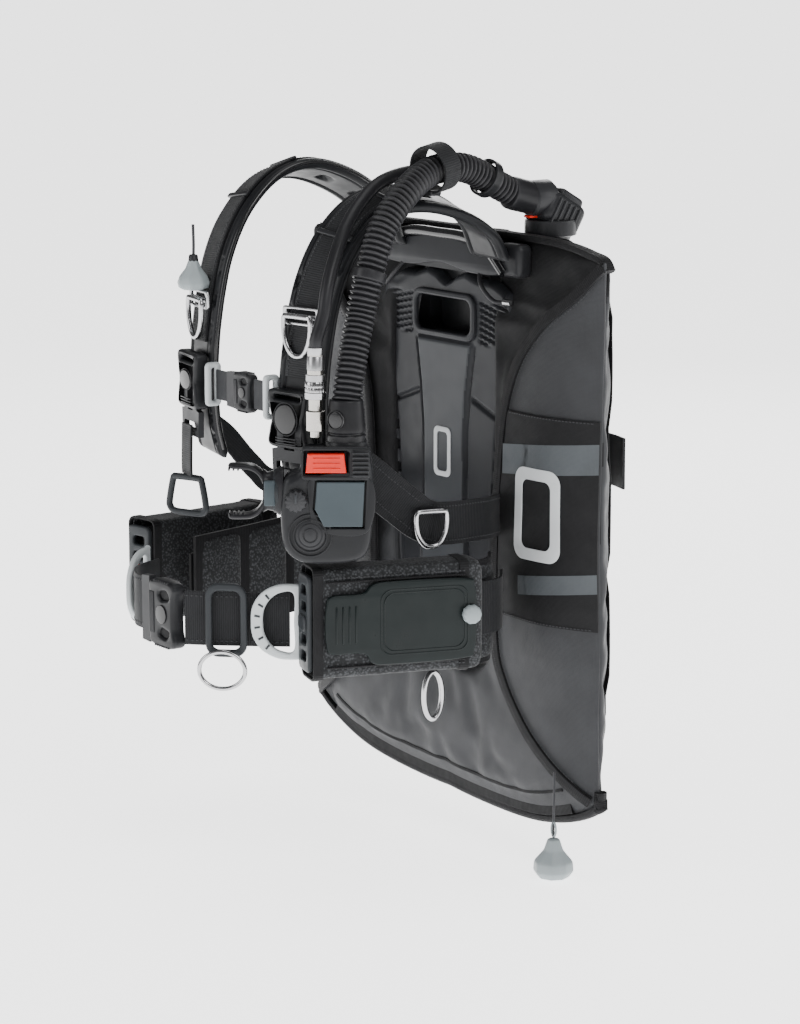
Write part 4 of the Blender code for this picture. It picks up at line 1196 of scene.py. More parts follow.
def make_wing_panel():
    """The dark panel across the left lobe, with its printed stripes and a plain motif."""
    def edge_x(z):
        knots = sorted(LOBE_EDGE, key=lambda p: p[1])
        for (x1, z1), (x2, z2) in zip(knots, knots[1:]):
            if z1 <= z <= z2:
                return x1 + (x2 - x1) * (z - z1) / (z2 - z1)
        return knots[-1][0]

    top, bottom = 0.052, -0.142
    rows = [(top + (bottom - top) * i / 60, edge_x(top + (bottom - top) * i / 60) + 0.010, 0.2288)
            for i in range(61)]
    finish_piece(surface_patch("wing_panel", "left", rows, 0.0018), "harness", nylon_dark_and_shade)
    for name, z1, z2, x1, x2, drop in (("wing_stripe_upper", 0.020, -0.008, 0.113, 0.2288, 0.012),
                                       ("wing_stripe_lower", -0.100, -0.118, 0.140, 0.2288, 0.012)):
        bands = []
        for i in range(9):
            z = z1 + (z2 - z1) * i / 8
            bands.append((z, x1, x2))
        stripe = surface_patch(name, "left", bands, 0.0, 0.0006)
        for v in stripe.data.vertices:
            v.co.z += drop * (v.co.x - x1) / (x2 - x1)
            v.co.y = lobe_y(v.co.x, v.co.z) - 0.0027
        finish_piece(stripe, "harness", printed_grey)
    # A plain motif: one rounded frame.
    motif = plate("wing_motif", [rounded_rectangle(0.0300, 0.0430, 0.0130, 8),
                                 rounded_rectangle(0.0190, 0.0320, 0.0075, 8)], 0.0006, 0.0002,
                  Matrix.Translation((0.164, 0.0, -0.0400)))
    subdivide_mesh(motif, 4)
    for v in motif.data.vertices:
        v.co.y = v.co.y + lobe_y(v.co.x, v.co.z) - 0.0030
    finish_piece(motif, "harness", printed)
    for name, z in (("panel_seam_top", 0.0505), ("panel_seam_bottom", -0.1405)):
        start = edge_x(z) + 0.013
        line = [Vector((start + (0.224 - start) * i / 60, 0.0, z)) for i in range(61)]
        for p in line:
            p.y = lobe_y(p.x, p.z) - 0.0028
        stitches(name, line, Vector((0, -1, 0)), "harness")


# ---------------------------------------------------------------- back pad and yoke

def between(knots, z):
    """A value that runs straight between (z, value) knots listed from the top down."""
    if z >= knots[0][0]:
        return knots[0][1]
    for (z1, a), (z2, b) in zip(knots, knots[1:]):
        if z >= z2:
            return a + (b - a) * (z - z1) / (z2 - z1)
    return knots[-1][1]


def step_up(value, low, high):
    t = min(1.0, max(0.0, (value - low) / (high - low)))
    return t * t * (3 - 2 * t)


PAD_WIDTH = [(0.170, 0.094), (0.156, 0.103), (0.138, 0.105), (0.110, 0.101), (0.080, 0.096),
             (0.020, 0.087), (-0.040, 0.082), (-0.110, 0.080), (-0.165, 0.070), (-0.190, 0.048)]
SPINE_WIDTH = [(0.112, 0.043), (0.060, 0.034), (0.020, 0.030), (-0.060, 0.029), (-0.120, 0.034),
               (-0.180, 0.042)]


def in_window(p):
    """Whether a point of the pad lies in its carrying handle window."""
    dx = max(0.0, abs(p.x) - 0.036)
    dz = max(0.0, abs(p.z - 0.128) - 0.008)
    return hypot(dx, dz) < 0.0105


def pad_relief(x, z, half_width):
    """Height of the pad's front, in metres, above its plain face."""
    side = abs(x)
    spine = between(SPINE_WIDTH, z)
    height = 0.0028 * (1.0 - step_up(side, spine, spine + 0.004)) * (1.0 - step_up(z, 0.100, 0.106))
    height -= 0.0022 * step_up(side, spine + 0.003, spine + 0.005) \
        * (1 - step_up(side, spine + 0.006, spine + 0.008)) * (1.0 - step_up(z, 0.098, 0.104))
    rib_zone = step_up(side, 0.052, 0.055) * step_up(z, 0.104, 0.107) \
        * (1 - step_up(side, half_width - 0.010, half_width - 0.007)) \
        * (1 - step_up(z, 0.143, 0.146))
    phase = (z + 0.22 * side) / 0.0060
    height -= 0.0026 * rib_zone * max(0.0, cos(2 * pi * phase)) ** 0.6
    rim = half_width - side
    height += 0.0012 * (1 - step_up(rim, 0.004, 0.006)) - 0.0014 * step_up(rim, 0.0045, 0.006) \
        * (1 - step_up(rim, 0.008, 0.010))
    # A curved break between the upper and lower side cushions.
    break_at = 0.045 - 0.35 * (side - 0.060)
    height -= 0.0030 * (1 - step_up(abs(z - break_at), 0.0010, 0.0035)) \
        * step_up(side, spine + 0.008, spine + 0.011)
    lower = -0.075 + 0.30 * (side - 0.060)
    height -= 0.0024 * (1 - step_up(abs(z - lower), 0.0010, 0.0030)) \
        * step_up(side, spine + 0.008, spine + 0.011)
    for notch in (0.086, 0.068, 0.012, -0.008, -0.030):
        across = 1 - step_up(abs(z - notch), 0.0035, 0.0050)
        height -= 0.0075 * across * step_up(side, half_width - 0.0085, half_width - 0.0070) \
            * (1 - step_up(side, half_width - 0.0035, half_width - 0.0020))
    return height


def make_back_pad():
    """The moulded gel pad, with its ribbed shoulders, raised spine and carrying handle window."""
    rows, columns = 240, 150
    verts = []
    for i in range(rows):
        z0 = 0.166 - 0.356 * i / (rows - 1)
        wide = between(PAD_WIDTH, z0)
        for k in range(columns):
            u = -1 + 2 * k / (columns - 1)
            x = u * wide
            side = abs(x)
            peak = 0.006 * max(0.0, 1 - abs(side - 0.030) / 0.020) \
                - 0.006 * max(0.0, 1 - side / 0.016) \
                - 0.010 * step_up(side, 0.070, 0.100)
            z = z0 + peak * step_up(z0, 0.130, 0.166)
            rim = min(wide - side, (0.166 - z0) + 0.0004, (z0 + 0.190) + 0.0004)
            roll = sqrt(max(0.0, 1 - (1 - min(1.0, rim / 0.007)) ** 2))
            y = -0.0165 - (0.0138 + pad_relief(x, z, wide)) * roll
            verts.append((x, y, z))
    pad = mesh_piece("back_pad_visual", verts, grid_faces(rows, columns))
    shape = bmesh.new()
    shape.from_mesh(pad.data)
    inside = [f for f in shape.faces if in_window(f.calc_center_median())]
    bmesh.ops.delete(shape, geom=inside, context="FACES")
    bmesh.ops.recalc_face_normals(shape, faces=shape.faces)
    if sum(f.normal.y for f in shape.faces) > 0:
        bmesh.ops.reverse_faces(shape, faces=shape.faces)
    shape.to_mesh(pad.data)
    shape.free()
    pad.data.materials.clear()
    pad.data.materials.append(gel)
    pad.data.materials.append(gel_light)
    for polygon in pad.data.polygons:
        middle = polygon.center
        if abs(middle.x) < between(SPINE_WIDTH, middle.z) + 0.001 and -0.183 < middle.z < 0.102:
            polygon.material_index = 1
    finish_piece(pad, "harness", None, ("back_pad",), 45.0)

    lip = plate("handle_lip", [rounded_rectangle(0.0500, 0.0225, 0.0130, 8, (0.0, 0.128)),
                               rounded_rectangle(0.0440, 0.0165, 0.0090, 8, (0.0, 0.128))],
                0.0050, 0.0018, Matrix.Translation((0, -0.0318, 0)))
    finish_piece(lip, "harness", gel)
    # The same plain rounded frame on the spine.
    motif = plate("spine_motif", [rounded_rectangle(0.0135, 0.0240, 0.0065, 8),
                                  rounded_rectangle(0.0085, 0.0190, 0.0040, 8)], 0.0012, 0.0004,
                  Matrix.Translation((0, -0.0336, -0.0040)))
    finish_piece(motif, "harness", printed)
    nodes["backplate"].data.materials[0] = polymer
    rounded(nodes["backplate"], 0.0020, 2)


def make_yoke():
    """The arched bead over the yoke, its lugs, and the bungee cords that tie the wing down."""
    arch = [(-0.098, -0.0345, 0.176), (-0.075, -0.0365, 0.196), (-0.045, -0.0375, 0.205),
            (0.0, -0.0380, 0.206), (0.045, -0.0375, 0.205), (0.075, -0.0365, 0.196),
            (0.098, -0.0345, 0.176)]
    bead_piece = tube("yoke_bead", arch, 0.0050, 0.006, 16)
    finish_piece(bead_piece, "harness", bead)
    web = plate("yoke_web", [curved_outline([(-0.096, 0.176), (-0.070, 0.195), (0.0, 0.203),
                                             (0.070, 0.195), (0.096, 0.176), (0.050, 0.172),
                                             (0.0, 0.178), (-0.050, 0.172)], 0.006)],
                0.0060, 0.0015, Matrix.Translation((0, -0.0345, 0)))
    finish_piece(web, "harness", gel)
    for side, sign in SIDE.items():
        lug = block("yoke_lug_" + side, (0.034, 0.0190, 0.0320), None,
                    (0.1030 * sign, -0.0250, 0.1880), 0.0070, 4)
        finish_piece(lug, "harness", strap_gel)
    bungee = [(0.060, -0.0340, 0.176), (0.070, -0.0400, 0.163), (0.088, -0.0390, 0.150),
              (0.108, -0.0370, 0.150)]
    for side, sign in SIDE.items():
        name = "bungee_" + side
        points = [(x * sign, y, z) for x, y, z in bungee]
        finish_piece(tube(name, points, 0.0021, 0.004, 12), "harness", rubber)
        end = Matrix.Translation(points[-1]) @ Matrix.Rotation(pi / 2, 4, "Y")
        tip = turned(name + "_end", [(0.0, 0.006), (0.0030, 0.0055), (0.0032, -0.005),
                                     (0.0, -0.006)], end, 20)
        finish_piece(tip, "harness", steel)


make_air_cell()
for side_name in SIDE:
    make_lobe(side_name)
make_wing_panel()
make_back_pad()
make_yoke()


# ---------------------------------------------------------------- shoulder harness

# A strap's stations from its root to its lower end: Y, Z, and how its width leans back and down.
STRAP_COURSE = [(-0.0392, 0.190, 0.00, 0.12), (-0.0560, 0.222, 0.00, 0.22),
                (-0.0920, 0.246, 0.00, 0.28), (-0.1380, 0.258, 0.00, 0.28),
                (-0.1780, 0.250, 0.05, 0.24), (-0.2100, 0.222, 0.12, 0.18),
                (-0.2310, 0.182, 0.17, 0.10), (-0.2430, 0.130, 0.19, 0.05),
                (-0.2480, 0.078, 0.20, 0.00), (-0.2460, 0.030, 0.20, 0.00),
                (-0.2380, -0.004, 0.20, 0.00)]
WEBBING_THICKNESS = 0.0026
STRAP_X = 0.084
STRAP_WIDTH = 0.060
STRAP_THICKNESS = 0.009
STRAP_LIFT = {"left": -0.008, "right": 0.008}
CHEST_TURN = radians(11)


def strap_course(side, step=0.003):
    """A strap's middle line, with its sideways direction at every point."""
    sign = SIDE[side]
    knots, leans = [], []
    for i, (y, z, back, drop) in enumerate(STRAP_COURSE):
        knots.append(Vector((STRAP_X * sign, y, z + STRAP_LIFT[side] * min(1.0, i / 3))))
        leans.append(Vector((-1.0, -back * sign, drop * sign)).normalized())
    across = []
    for i in range(len(knots) - 1):
        count = max(1, round((knots[i + 1] - knots[i]).length / step))
        across += [leans[i].lerp(leans[i + 1], k / count) for k in range(count)]
    return smooth_route(knots, step), across + [leans[-1]]


def strap_point(side, z, forward):
    """A point in front of a strap's middle line at a height."""
    level = z - STRAP_LIFT[side]
    for (y1, z1, _, _), (y2, z2, _, _) in zip(STRAP_COURSE[6:], STRAP_COURSE[7:]):
        if z1 >= level >= z2:
            y = y1 + (y2 - y1) * (z1 - level) / (z1 - z2)
    return Vector((STRAP_X * SIDE[side], y - forward, z))


def place_along(route, z):
    """How far along a strap its front comes down to a height."""
    total = lengths_along(route)
    return min((abs(p.z - z), s) for p, s in zip(route, total) if p.y < -0.19)[1]


def moulded_band(name, route, across, width, thickness, relief, columns=44):
    """A thick band with round edges; relief(along, sideways) raises or sinks both of its faces."""
    ways = tangents(route)
    total = lengths_along(route)
    verts, uvs = [], []
    count = 2 * columns
    for i, (centre, way) in enumerate(zip(route, ways)):
        side = (across[i] - way * across[i].dot(way)).normalized()
        out = side.cross(way)
        ends = min(1.0, 0.35 + min(total[i], total[-1] - total[i]) / 0.006)
        for k in range(count):
            angle = 2 * pi * k / count - pi / 2
            a = width / 2 * sin(angle)
            face = 1.0 if cos(angle) >= 0 else -1.0
            body = thickness / 2 * (1.0 - abs(sin(angle)) ** 6) ** 0.5
            lift = relief(total[i], a) * min(1.0, 3.0 * body / thickness * 2)
            verts.append(centre + side * a + out * face * (body + lift) * ends)
            uvs.append((total[i], a))
    faces = [tuple(reversed(range(count))),
             tuple((len(route) - 1) * count + k for k in range(count))]
    faces += wrapped_faces(len(route), count)
    return outward(mesh_piece(name, verts, faces, uvs))


def make_strap(side):
    """A moulded rubber shoulder strap with rolled edges, slots and a bead along its inner edge."""
    sign = SIDE[side]
    route, across = strap_course(side)
    inner = 0.0245 * sign
    pits = [(place_along(route, z), inner, half, 0.0022)
            for z, half in ((0.178, 0.0062), (0.150, 0.0062), (0.120, 0.0062), (0.040, 0.0035),
                            (0.022, 0.0035))]
    pits += [(0.060, 0.0, 0.0060, 0.0060), (0.105, 0.0, 0.0060, 0.0060)]
    pits += [(0.190, -inner, 0.0450, 0.0018)]

    def relief(along, sideways):
        edge = abs(sideways)
        height = 0.0011 * step_up(edge, 0.0215, 0.0225)
        height -= 0.0014 * (1 - step_up(abs(edge - 0.0202), 0.0004, 0.0013))
        for at, middle, half_along, half_side in pits:
            if abs(along - at) < half_along + 0.001 and abs(sideways - middle) < half_side + 0.001:
                deep = 1 - step_up(abs(along - at), half_along - 0.0008, half_along + 0.0008)
                height -= 0.0034 * deep * (1 - step_up(abs(sideways - middle), half_side - 0.0008,
                                                       half_side + 0.0008))
        return height

    band = moulded_band("shoulder_strap_visual_" + side, route, across, STRAP_WIDTH,
                        STRAP_THICKNESS, relief)
    finish_piece(band, "harness", strap_gel, ("shoulder_strap_" + side,),
                           50.0)

    ways = tangents(route)
    total = lengths_along(route)
    sides = [(a - w * a.dot(w)).normalized() for a, w in zip(across, ways)]
    outs = [a.cross(w) for a, w in zip(sides, ways)]
    edge = [p + s * 0.0292 * sign for p, s in zip(route, sides)][3:-3]
    finish_piece(sweep("strap_bead_" + side, edge, turning_frames(edge), round_section(0.0021, 12)),
                 "harness", bead, smooth=70.0)

    low = place_along(route, 0.092 if side == "left" else 0.106)
    run = [i for i, s in enumerate(total) if 0.125 < s < low]
    line = [route[i] + outs[i] * 0.0060 for i in run]
    band = sweep("strap_webbing_" + side, line, [across[i] for i in run],
                 flat_section(0.0360, WEBBING_THICKNESS))
    finish_piece(band, "harness", webbing)
    for shift in (-0.0145, 0.0145):
        seam = [p + sides[i] * shift + outs[i] * 0.0014 for p, i in zip(line, run)]
        stitches("strap_seam_%s_%d" % (side, round(shift * 1000) + 20), seam,
                 [outs[i] for i in run], "harness")
    for number, at in enumerate((0.150, 0.205)):
        i = min(range(len(total)), key=lambda n: abs(total[n] - at))
        turn = Matrix((sides[i], ways[i], outs[i])).transposed().to_4x4()
        bar = block("bar", (0.044, 0.0050, 0.0032), Matrix.Translation(route[i] + outs[i] * 0.0080)
                    @ turn, rounding=0.0012)
        bar.name = "strap_bar_%s_%d" % (side, number)
        finish_piece(bar, "harness", polymer)


def d_ring_points(width, height):
    """A D-ring hanging from its straight bar, with its corners rounded."""
    w = width / 2
    half = [(w - 0.0035, 0.0), (w - 0.0010, -0.0008), (w, -0.0035), (w, -0.34 * height),
            (0.88 * w, -0.62 * height), (0.60 * w, -0.86 * height), (0.26 * w, -0.98 * height)]
    right = [(x, 0, z) for x, z in half]
    return right + [(-x, 0, z) for x, _, z in reversed(right)]


def oval_points(half_x, half_z, count=24):
    """An oval ring hanging from its top."""
    return [(half_x * sin(2 * pi * i / count), 0, -half_z + half_z * cos(2 * pi * i / count))
            for i in range(count)]


def make_ring(node, points, wire, place, material=steel):
    """A closed loop of round wire in place of a CAD ring, on the ring's own body."""
    ring = tube(node + "_wire", points, wire, 0.0015, 16, closed=True)
    ring.data.transform(place)
    finish_piece(ring, node, material, (node,), 80.0)


def make_chest_hardware(side):
    """A strap's steel slide and D-ring, and the buckle at its lower end."""
    turn = CHEST_TURN * SIDE[side]
    slide = plate("chest_slide_visual_" + side,
                  [rounded_rectangle(0.0235, 0.0085, 0.0030, 5),
                   rounded_rectangle(0.0185, 0.0017, 0.0015, 4, (0.0, 0.0040)),
                   rounded_rectangle(0.0185, 0.0017, 0.0015, 4, (0.0, -0.0040))],
                  0.0030, 0.0011, at_frame(strap_point(side, 0.150, 0.0125), turn), 3)
    finish_piece(slide, "harness", steel, ("chest_slide_" + side,))
    make_ring("chest_ring_" + side, d_ring_points(0.034, 0.036), 0.0025,
              at_frame(strap_point(side, 0.150, 0.0175), turn))

    top = strap_point(side, 0.066 + STRAP_LIFT[side], 0.0135)
    place = at_frame(top, turn)
    waist = [(-0.0230, 0.0260), (0.0, 0.0262), (0.0230, 0.0260), (0.0226, 0.0100),
             (0.0200, 0.0), (0.0226, -0.0100), (0.0230, -0.0240), (0.0, -0.0258),
             (-0.0230, -0.0240), (-0.0226, -0.0100), (-0.0200, 0.0), (-0.0226, 0.0100)]
    outline = curved_outline(waist, 0.002)
    slot_high = rounded_rectangle(0.0170, 0.0020, 0.0018, 4, (0.0, 0.0200))
    pieces = [plate("body", [outline, slot_high], 0.0130, 0.0030, place, 3)]
    pieces[0].data.materials.append(polymer)
    squeeze = 1.0 if side == "left" else 0.66
    disc = plate("disc", [circle(0.0135, 36, squeeze=squeeze)], 0.0022, 0.0009,
                 place @ Matrix.Translation((0, -0.0070, 0.0010)), 3)
    disc.data.materials.append(polymer_gloss)
    ring = plate("ring", [circle(0.0155, 36, squeeze=squeeze),
                          circle(0.0144, 36, squeeze=squeeze)], 0.0012, 0.0004,
                 place @ Matrix.Translation((0, -0.0069, 0.0010)))
    ring.data.materials.append(polymer)
    pieces += [disc, ring]
    for z in (-0.0165, -0.0190, -0.0215):
        rib = block("rib", (0.026, 0.0016, 0.0012), place, (0, -0.0068, z), 0.0005, 2)
        pieces.append(tinted(rib, polymer))
    made = joined("shoulder_buckle_visual_" + side, pieces)
    finish_piece(made, "harness", None, ("shoulder_buckle_" + side,))
    tongue = nodes["shoulder_tongue_" + side]
    tongue.data.materials[0] = polymer
    rounded(tongue, 0.0009, 2)


def upright_band(name, points, z, height, closed=False):
    """Webbing on edge: a plan of X and Y points at one height."""
    route = [(x, y, z) for x, y in points]
    line = smooth_loop(route, 0.004) if closed else smooth_route(route, 0.004)
    return sweep(name, line, Vector((0, 0, 1)), flat_section(height, WEBBING_THICKNESS), closed)


def make_lower_webbing(side):
    """The webbing from a shoulder buckle down to the backplate, sewn along both edges."""
    sign = SIDE[side]
    points = [(0.0975, -0.2330, 0.028), (0.110, -0.2050, 0.010), (0.124, -0.1700, -0.022),
              (0.131, -0.1400, -0.042), (0.124, -0.0800, -0.046), (0.108, -0.0465, -0.048)]
    route = smooth_route([(x * sign, y, z) for x, y, z in points], 0.004)
    height = 0.040 if side == "left" else 0.024
    band = sweep("lower_webbing_visual_" + side, route, Vector((0, 0, 1)),
                 flat_section(height, WEBBING_THICKNESS))
    finish_piece(band, "harness", webbing, ("lower_webbing_" + side,))
    ways = tangents(route)
    outs = [Vector((-w.y, w.x, 0)).normalized() * (1 if -w.y * sign > 0 else -1) for w in ways]
    for shift in (-0.5, 0.5):
        seam = [p + Vector((0, 0, shift * (height - 0.008))) + o * 0.0015
                for p, o in zip(route, outs)]
        stitches("lower_seam_%s_%d" % (side, shift > 0), seam, outs, "harness")


def make_shoulder_knob():
    """The shoulder dump's pull knob on its cord."""
    pivot = Vector((-STRAP_X, -0.25881, 0.1735))
    knob = turned("knob", [(0.0006, 0.0135), (0.0046, 0.0125), (0.0075, 0.0050), (0.0128, -0.0020),
                           (0.0150, -0.0080), (0.0140, -0.0125), (0.0100, -0.0146),
                           (0.0006, -0.0148)], Matrix.Translation(pivot), 48, 8, 0.035)
    knob.data.materials.append(knob_grey)
    cord = tube("cord", [pivot + Vector((0, 0, 0.012)), pivot + Vector((0, 0.0004, 0.028)),
                         pivot + Vector((0, 0, 0.046))], 0.0014, 0.003, 12)
    cord.data.materials.append(thread)
    ring = turned("collar", [(0.0034, 0.0180), (0.0042, 0.0172), (0.0048, 0.0120),
                             (0.0040, 0.0112)], Matrix.Translation(pivot), 24)
    ring.data.materials.append(polymer)
    finish_piece(joined("shoulder_knob_visual", [knob, cord, ring]), "shoulder_knob", None,
                 ("shoulder_knob",), 50.0)


def side_release(name, size, place, stands_for, body, emblem=True):
    """A side-release buckle's socket: a crowned moulding with finger slots and ribbed edges."""
    width, depth, height = size
    half = height / 2
    outline = [(-width / 2, half * 0.86), (-width * 0.30, half * 0.99),
               (width * 0.30, half * 0.99), (width / 2, half * 0.80),
               (width * 0.43, half * 0.40), (width * 0.43, -half * 0.40),
               (width / 2, -half * 0.80), (width * 0.30, -half * 0.99),
               (-width * 0.30, -half * 0.99), (-width / 2, -half * 0.86),
               (-width * 0.46, -half * 0.40), (-width * 0.46, half * 0.40)]
    kidney = [(-0.10 * width, half * 0.62), (0.16 * width, half * 0.70),
              (0.28 * width, half * 0.52), (0.16 * width, half * 0.46),
              (-0.02 * width, half * 0.44)]
    holes = [curved_outline(kidney, 0.0012), curved_outline([(x, -z) for x, z in kidney], 0.0012)]
    pieces = [plate("socket", [curved_outline(outline, 0.002)] + holes, depth * 0.82,
                    depth * 0.20, place, 4)]
    pieces[0].data.materials.append(polymer)
    core = plate("core", [rounded_rectangle(width * 0.40, half * 0.82, 0.004, 5)], depth * 0.5,
                 0.001, place)
    pieces.append(tinted(core, nylon_dark_and_shade))
    if emblem:
        disc = plate("disc", [circle(half * 0.28, 36)], 0.0014, 0.0005,
                     place @ Matrix.Translation((0.02 * width, -depth * 0.44, 0)), 3)
        pieces.append(tinted(disc, polymer_gloss))
    for sign in (-1, 1):
        for i in range(7):
            x = (i - 3) * width * 0.085
            rib = block("rib", (width * 0.035, depth * 0.86, 0.0022), place,
                        (x, 0, sign * (half * 0.965)), 0.0006, 2)
            pieces.append(tinted(rib, polymer))
    for i in range(4):
        rib = block("rib", (0.0016, 0.0014, height * 0.62), place,
                    (-width * (0.30 + 0.045 * i), -depth * 0.415, 0), 0.0005, 2)
        pieces.append(tinted(rib, polymer))
    finish_piece(joined(name, pieces), body, None, stands_for)


STERNUM_Z = 0.074


def make_sternum():
    """The sternum strap: two webbings, their slides and a side-release buckle."""
    for side, points in (("left", ((0.026, -0.262), (0.036, -0.2621), (0.046, -0.262))),
                         ("right", ((-0.006, -0.2575), (-0.026, -0.2577), (-0.046, -0.2575)))):
        finish_piece(upright_band("sternum_webbing_visual_" + side, points, STERNUM_Z, 0.028),
                     "harness", webbing_grey, ("sternum_webbing_" + side,))
        sign = SIDE[side]
        place = Matrix.Translation((0.0497 * sign, -0.260, STERNUM_Z)) @ Matrix.Rotation(
            pi / 2, 4, "Z")
        slide = plate("slide", [rounded_rectangle(0.0080, 0.0205, 0.0045, 6),
                                rounded_rectangle(0.0026, 0.0155, 0.0022, 5)],
                      0.0062, 0.0022, place, 3)
        slide.data.materials.append(light_grey)
        pieces = [slide]
        for z in (0.0235, -0.0235):
            rivet = turned("rivet", [(0.0004, 0.0022), (0.0018, 0.0018), (0.0026, 0.0004),
                                     (0.0026, -0.0010)],
                           Matrix.Translation((0.0497 * sign, -0.2655, STERNUM_Z + z * 0.62))
                           @ Matrix.Rotation(pi / 2, 4, "X"), 20)
            pieces.append(tinted(rivet, steel))
        finish_piece(joined("sternum_slide_visual_" + side, pieces), "harness", None,
                     ("sternum_slide_" + side,))
    side_release("sternum_buckle_visual", (0.028, 0.012, 0.036),
                 Matrix.Translation((0.0105, -0.262, STERNUM_Z)), ("sternum_buckle",), "harness")
    tongue = nodes["sternum_tongue"]
    tongue.data.materials[0] = polymer
    rounded(tongue, 0.0009, 2)


def make_pull_tail():
    """The end of the right shoulder webbing, which the pull ring hangs from."""
    line = smooth_route([(-0.0840, -0.2674, 0.0330), (-0.0838, -0.2680, 0.0140),
                         (-0.0838, -0.2684, -0.0050), (-0.0838, -0.2680, -0.0150)], 0.003)
    band = sweep("pull_tail", line, Vector((-1, 0.2, 0)), flat_section(0.025, 0.0024))
    finish_piece(band, "harness", webbing)


# ---------------------------------------------------------------- waist

BELT_Z = -0.122
BELT_WIDTH = 0.050
BELT_BEHIND = [(0.1105, -0.2500), (0.1315, -0.1800), (0.1520, -0.1130), (0.1500, -0.0780),
               (0.1200, -0.0520)]
BELT_FRONT = {"left": [(0.0340, -0.3440), (0.0540, -0.3240), (0.0760, -0.2980),
                       (0.0970, -0.2720)],
              "right": [(0.0160, -0.3400), (0.0400, -0.3400), (0.0640, -0.3370),
                        (0.0910, -0.3180), (0.1070, -0.2870)]}
RING_PLACE = {"left": ((0.1095, -0.2710, BELT_Z), radians(49)),
              "right": ((-0.1180, -0.2935, BELT_Z), radians(-55))}


def make_belt(side):
    """One side of the 50 mm waist belt, in front of its ring and behind it."""
    sign = SIDE[side]
    parts = []
    for name, points in (("front", BELT_FRONT[side]), ("behind", BELT_BEHIND)):
        plan = [(x * sign, y) for x, y in points]
        parts.append(upright_band(name, plan, BELT_Z, BELT_WIDTH))
        parts[-1].data.materials.append(webbing)
    finish_piece(joined("waist_belt_visual_" + side, parts), "harness", None,
                 ("waist_belt_" + side,))
    line = smooth_route([(x * sign, y, BELT_Z) for x, y in BELT_FRONT[side]], 0.004)
    outs = [Vector((-w.y, w.x, 0)).normalized() for w in tangents(line)]
    outs = [o if o.y < 0 else -o for o in outs]
    for shift in (-0.0205, 0.0205):
        seam = [p + Vector((0, 0, shift)) + o * 0.0015 for p, o in zip(line, outs)]
        stitches("belt_seam_%s_%d" % (side, shift > 0), seam, outs, "harness", pitch=0.0044)


def make_belt_ring(side):
    """A flat moulded D-ring with an upright bar and slots round its curve."""
    way = -SIDE[side]
    place = at_frame(*RING_PLACE[side])
    outer = [(-0.0040, -0.0330), (0.0000, -0.0345), (0.0180, -0.0340), (0.0330, -0.0265),
             (0.0415, -0.0140), (0.0432, 0.0), (0.0415, 0.0140), (0.0330, 0.0265),
             (0.0180, 0.0340), (0.0000, 0.0345), (-0.0040, 0.0330), (-0.0042, 0.0)]
    hole = [(0.0042, -0.0255), (0.0160, -0.0268), (0.0255, -0.0205), (0.0310, -0.0110),
            (0.0322, 0.0), (0.0310, 0.0110), (0.0255, 0.0205), (0.0160, 0.0268),
            (0.0042, 0.0255), (0.0040, 0.0)]
    ring = plate("ring", [curved_outline([(x * way, z) for x, z in one], 0.0012)
                          for one in (outer, hole)], 0.0055, 0.0021, place, 4)
    ring.data.materials.append(light_grey)
    pieces = [ring]
    for i in range(6):
        angle = radians(-50 + 20 * i)
        at = Matrix.Translation((way * (0.0100 + 0.0275 * cos(angle)), -0.0029,
                                 0.0300 * sin(angle)))
        slot = block("slot", (0.0052, 0.0008, 0.0020), place @ at
                     @ Matrix.Rotation(-way * angle, 4, "Y"), rounding=0.0003, segments=2)
        pieces.append(tinted(slot, slate))
    finish_piece(joined("belt_ring_visual_" + side, pieces), "belt_ring_" + side, None,
                 ("belt_ring_" + side,))


def make_belt_keeper():
    """The plastic keeper on the left belt and the wire hoop that hangs under it."""
    place = at_frame((0.0655, -0.3200, BELT_Z), radians(47))
    keeper = plate("belt_keeper_visual", [rounded_rectangle(0.0190, 0.0340, 0.0120, 8),
                                          rounded_rectangle(0.0130, 0.0270, 0.0065, 7)],
                   0.0046, 0.0020, place, 4)
    finish_piece(keeper, "harness", slate, ("belt_keeper",))
    hoop = at_frame((0.0715, -0.3285, -0.158), radians(47)) @ Matrix.Translation((0, 0, 0.0090))
    make_ring("belt_hoop", oval_points(0.021, 0.017), 0.0020, hoop)


def make_waist_buckle():
    """The waist buckle's moulded socket, with the CAD tongue rounded off."""
    side_release("waist_buckle_visual", (0.044, 0.017, 0.062),
                 Matrix.Translation((0.010, -0.348, BELT_Z)), ("waist_buckle",), "harness")
    tongue = nodes["waist_tongue"]
    tongue.data.materials[0] = polymer
    rounded(tongue, 0.0012, 2)


HIP_PAD = [(0.1020, -0.2500), (0.1225, -0.1800), (0.1425, -0.1150), (0.1405, -0.0850),
           (0.1180, -0.0640)]
HIP_PAD_Z = -0.128


